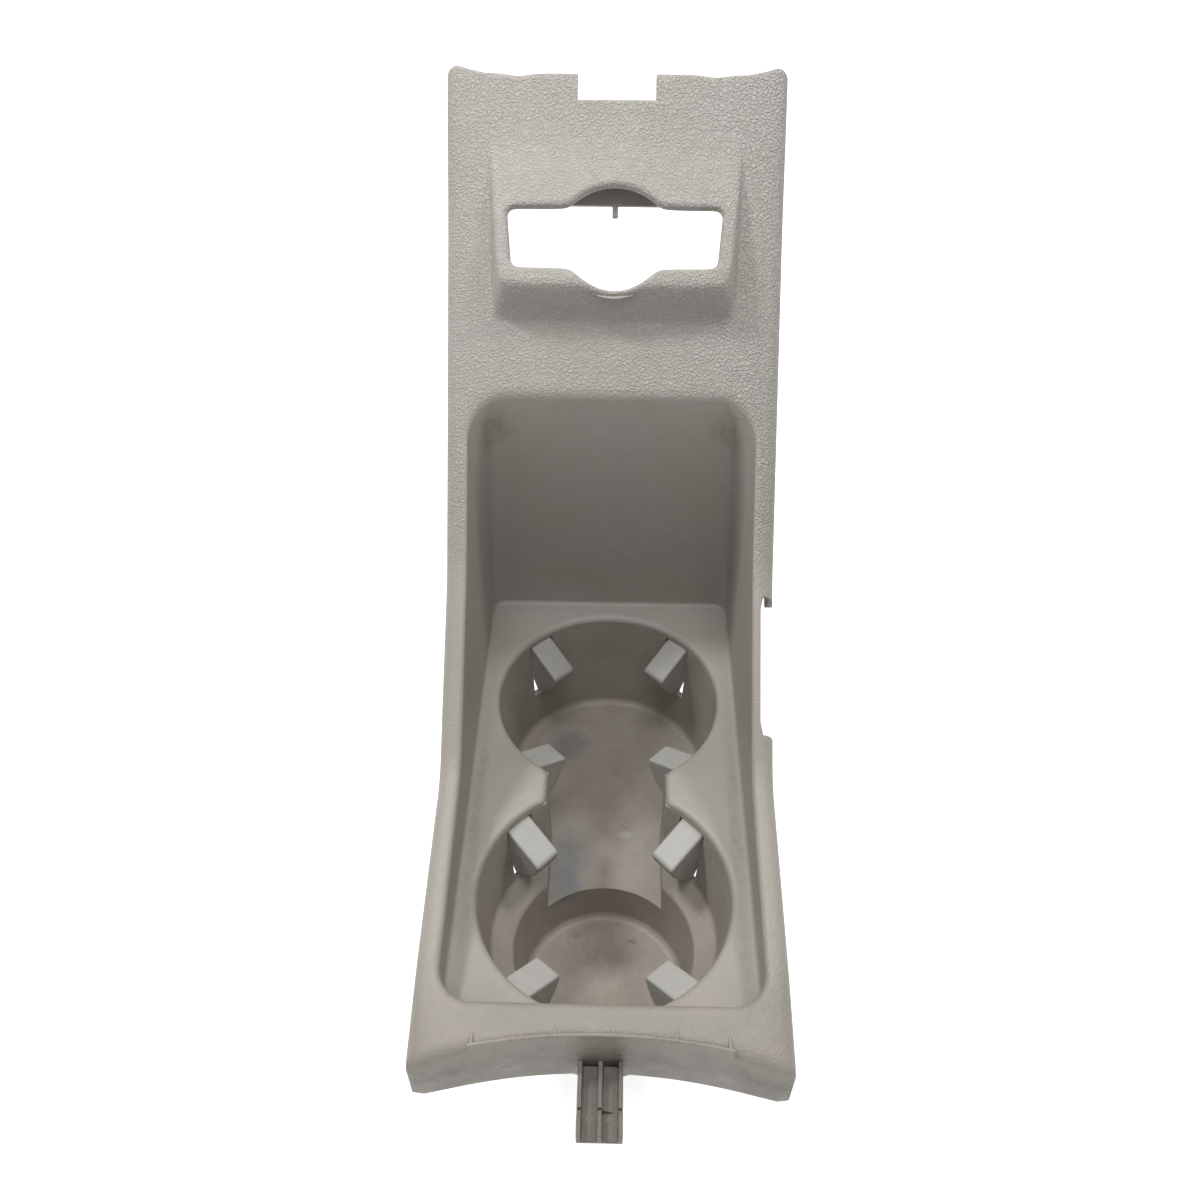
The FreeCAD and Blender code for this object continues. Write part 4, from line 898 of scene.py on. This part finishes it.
# %% Tongue
TONGUE_TOP, TONGUE_END = 68.5, -78.5
half, wall_t, deep = 7.0, 1.4, 4.2
tongue_outline = [(-half, -deep - wall_t), (half, -deep - wall_t), (half, 0), (half - wall_t, 0),
                  (half - wall_t, -deep), (wall_t / 2, -deep), (wall_t / 2, 0), (-wall_t / 2, 0),
                  (-wall_t / 2, -deep), (wall_t - half, -deep), (wall_t - half, 0), (-half, 0)]
parts = []
for first, last, drop in ((TONGUE_END, -71.8, 0), (-71.8, -70.2, 1.4), (-70.2, -56.0, 0)):
    cut = [(u, min(v, -drop)) for u, v in tongue_outline]
    parts.append(swept(cut, [(0, first, TONGUE_TOP), (0, last, TONGUE_TOP)], [(1, 0, 0)] * 2,
                       [(0, 0, 1)] * 2))
bars("tongue", parts, panel_plastic, 0.25)

# %% Guide, bosses and tabs
def ramp_way(along, height):
    """Vector in the side plane: so far up the ramp and so far square to it."""
    return (0, along * math.cos(RAMP_ANGLE) - height * math.sin(RAMP_ANGLE),
            along * math.sin(RAMP_ANGLE) + height * math.cos(RAMP_ANGLE))


def tube(x, y, inner, outer, low, high, steps=32):
    """A plumb tube as a ring of four-point profiles whose last row meets its first."""
    turn = np.linspace(0, 2 * math.pi, steps + 1)[:, None]
    radius, height = np.array([inner, outer, outer, inner]), np.array([low, low, high, high])
    grid = np.stack([x + radius * np.cos(turn), y + radius * np.sin(turn),
                     np.broadcast_to(height, (steps + 1, 4))], -1)
    return grid.reshape(-1, 3), grid_faces(steps + 1, 4, True).tolist()


def ramp_bar(outline, half):
    """A bar across the panel whose outline is given along and square to the ramp."""
    return swept(outline, [(-half, *BEND), (half, *BEND)], [ramp_way(1, 0)] * 2, [ramp_way(0, 1)] * 2)


GUIDE_LOW, GUIDE_DEEP = POD_EYE + 14.0, -7.0
TAB_SIDE, TAB_WIDE, BOSS_X, CUP_PITCH = 49.5, 12.0, 51.0, 90.0
bars("switch_guide", [
    ramp_bar([(GUIDE_LOW, GUIDE_DEEP - 2), (POD_HIGH + 2, GUIDE_DEEP - 2), (POD_HIGH + 2, -1.3),
              (POD_HIGH, -1.3), (POD_HIGH, GUIDE_DEEP), (GUIDE_LOW, GUIDE_DEEP)], 16.2),
    ramp_bar([(GUIDE_LOW - 4, GUIDE_DEEP - 2), (GUIDE_LOW + 1, GUIDE_DEEP - 2), (GUIDE_LOW + 1, GUIDE_DEEP),
              (GUIDE_LOW - 4, GUIDE_DEEP)], 1.0)], panel_plastic, 0.3)
bars("screw_bosses", [tube(side * BOSS_X, y, 1.4, 3.4, 62.9, 72.0) for side in (-1, 1)
                      for y in (0.0, CUP_PITCH)], panel_plastic, 0.2)
bars("clip_tabs", [
    swept([(-1, -12.3), (1, -12.3), (1, -1.6), (-1, -1.6)],
          [np.add((side * TAB_SIDE, *BEND), ramp_way(along, 0)) for along in (first, first + TAB_WIDE)],
          [(1, 0, 0)] * 2, [ramp_way(0, 1)] * 2)
    for side in (-1, 1) for first in (74.0, 158.0)], panel_plastic, 0.3)
print("guide, bosses and tabs placed")

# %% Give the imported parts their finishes
FINISH = {"trim_panel": panel_plastic, "cup_tub": tub_plastic, "grip_flap": flap_plastic,
          "hinge_pin": spring_steel, "torsion_spring": spring_steel, "tub_screws": spring_steel,
          "retaining_clips": spring_steel}
for name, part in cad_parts.items():
    finish = next(made for start, made in FINISH.items() if name.startswith(start))
    part.data.materials.clear()
    part.data.materials.append(finish)
print(len(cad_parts), "parts finished")

# %% [markdown]
# ## Floor and light
# The part stands on a plain pale floor. A wide lamp overhead lights the wells, and
# two smaller ones, upper left and upper right, throw the faint shadows that cross
# in the recess. The sky is brighter above than at its edge, so upright faces stay
# darker. The floor and
# the sky show the eye, and any glossy surface, plain white; the floor still
# catches the part's own shadow because only part of its white is its own light.

# %% Floor
floor_mesh = bpy.data.meshes.new("floor")
floor_mesh.from_pydata([(-6, -6, -0.0004), (6, -6, -0.0004), (6, 6, -0.0004), (-6, 6, -0.0004)],
                       [], [(0, 1, 2, 3)])
floor = bpy.data.objects.new("floor", floor_mesh)
bpy.context.scene.collection.objects.link(floor)
floor_white, tree, shader, place = material("floor white", 0.9)
shader.inputs["Base Color"].default_value = (0.86, 0.86, 0.85, 1)
shader.inputs["Specular IOR Level"].default_value = 0.0
path = tree.nodes.new("ShaderNodeLightPath").outputs
seen = maths(tree, "ADD", maths(tree, "ADD", path["Is Camera Ray"], path["Is Glossy Ray"]),
             path["Is Transmission Ray"], clamp=True)
shader.inputs["Emission Color"].default_value = (1, 1, 1, 1)
tree.links.new(maths(tree, "MULTIPLY", seen, 0.72), shader.inputs["Emission Strength"])
floor_mesh.materials.append(floor_white)

# %% World and lamps
SKY_LOW, SKY_TOP = 0.12, 0.5
world = bpy.data.worlds.new("studio")
bpy.context.scene.world = world
world.use_nodes = True
tree = world.node_tree
background = tree.nodes["Background"]
path = tree.nodes.new("ShaderNodeLightPath").outputs
seen = maths(tree, "ADD", maths(tree, "ADD", path["Is Camera Ray"], path["Is Glossy Ray"]),
             path["Is Transmission Ray"], clamp=True)
direction = tree.nodes.new("ShaderNodeTexCoord").outputs["Generated"]
height = node(tree, "ShaderNodeSeparateXYZ", Vector=direction).outputs["Z"]
ambient = between(tree, height, -0.1, 0.9, SKY_LOW, SKY_TOP)
beyond = maths(tree, "MULTIPLY", seen, maths(tree, "SUBTRACT", 1.0, ambient))
tree.links.new(maths(tree, "ADD", ambient, beyond),
               background.inputs["Strength"])
background.inputs["Color"].default_value = (1, 1, 1, 1)


def soft_lamp(name, position, target, width, watts):
    """A square area lamp at position whose face looks at target."""
    lamp = bpy.data.objects.new(name, bpy.data.lights.new(name, "AREA"))
    bpy.context.scene.collection.objects.link(lamp)
    lamp.data.size, lamp.data.energy = width, watts
    lamp.location = position
    back = (np.array(position) - np.array(target)).tolist()
    lamp.rotation_mode = "QUATERNION"
    lamp.rotation_quaternion = Vector(back).to_track_quat("Z", "Y")
    return lamp


soft_lamp("lamp upper left", (-0.58, 0.2, 1.15), (0, 0.06, 0.08), 0.16, 7.0)
soft_lamp("lamp upper right", (0.58, 0.25, 1.15), (0, 0.06, 0.08), 0.16, 4.0)
soft_lamp("lamp overhead", (0.0, -0.2, 1.25), (0, 0.08, 0.05), 0.5, 5.5)
bpy.context.scene.view_settings.view_transform = "Standard"
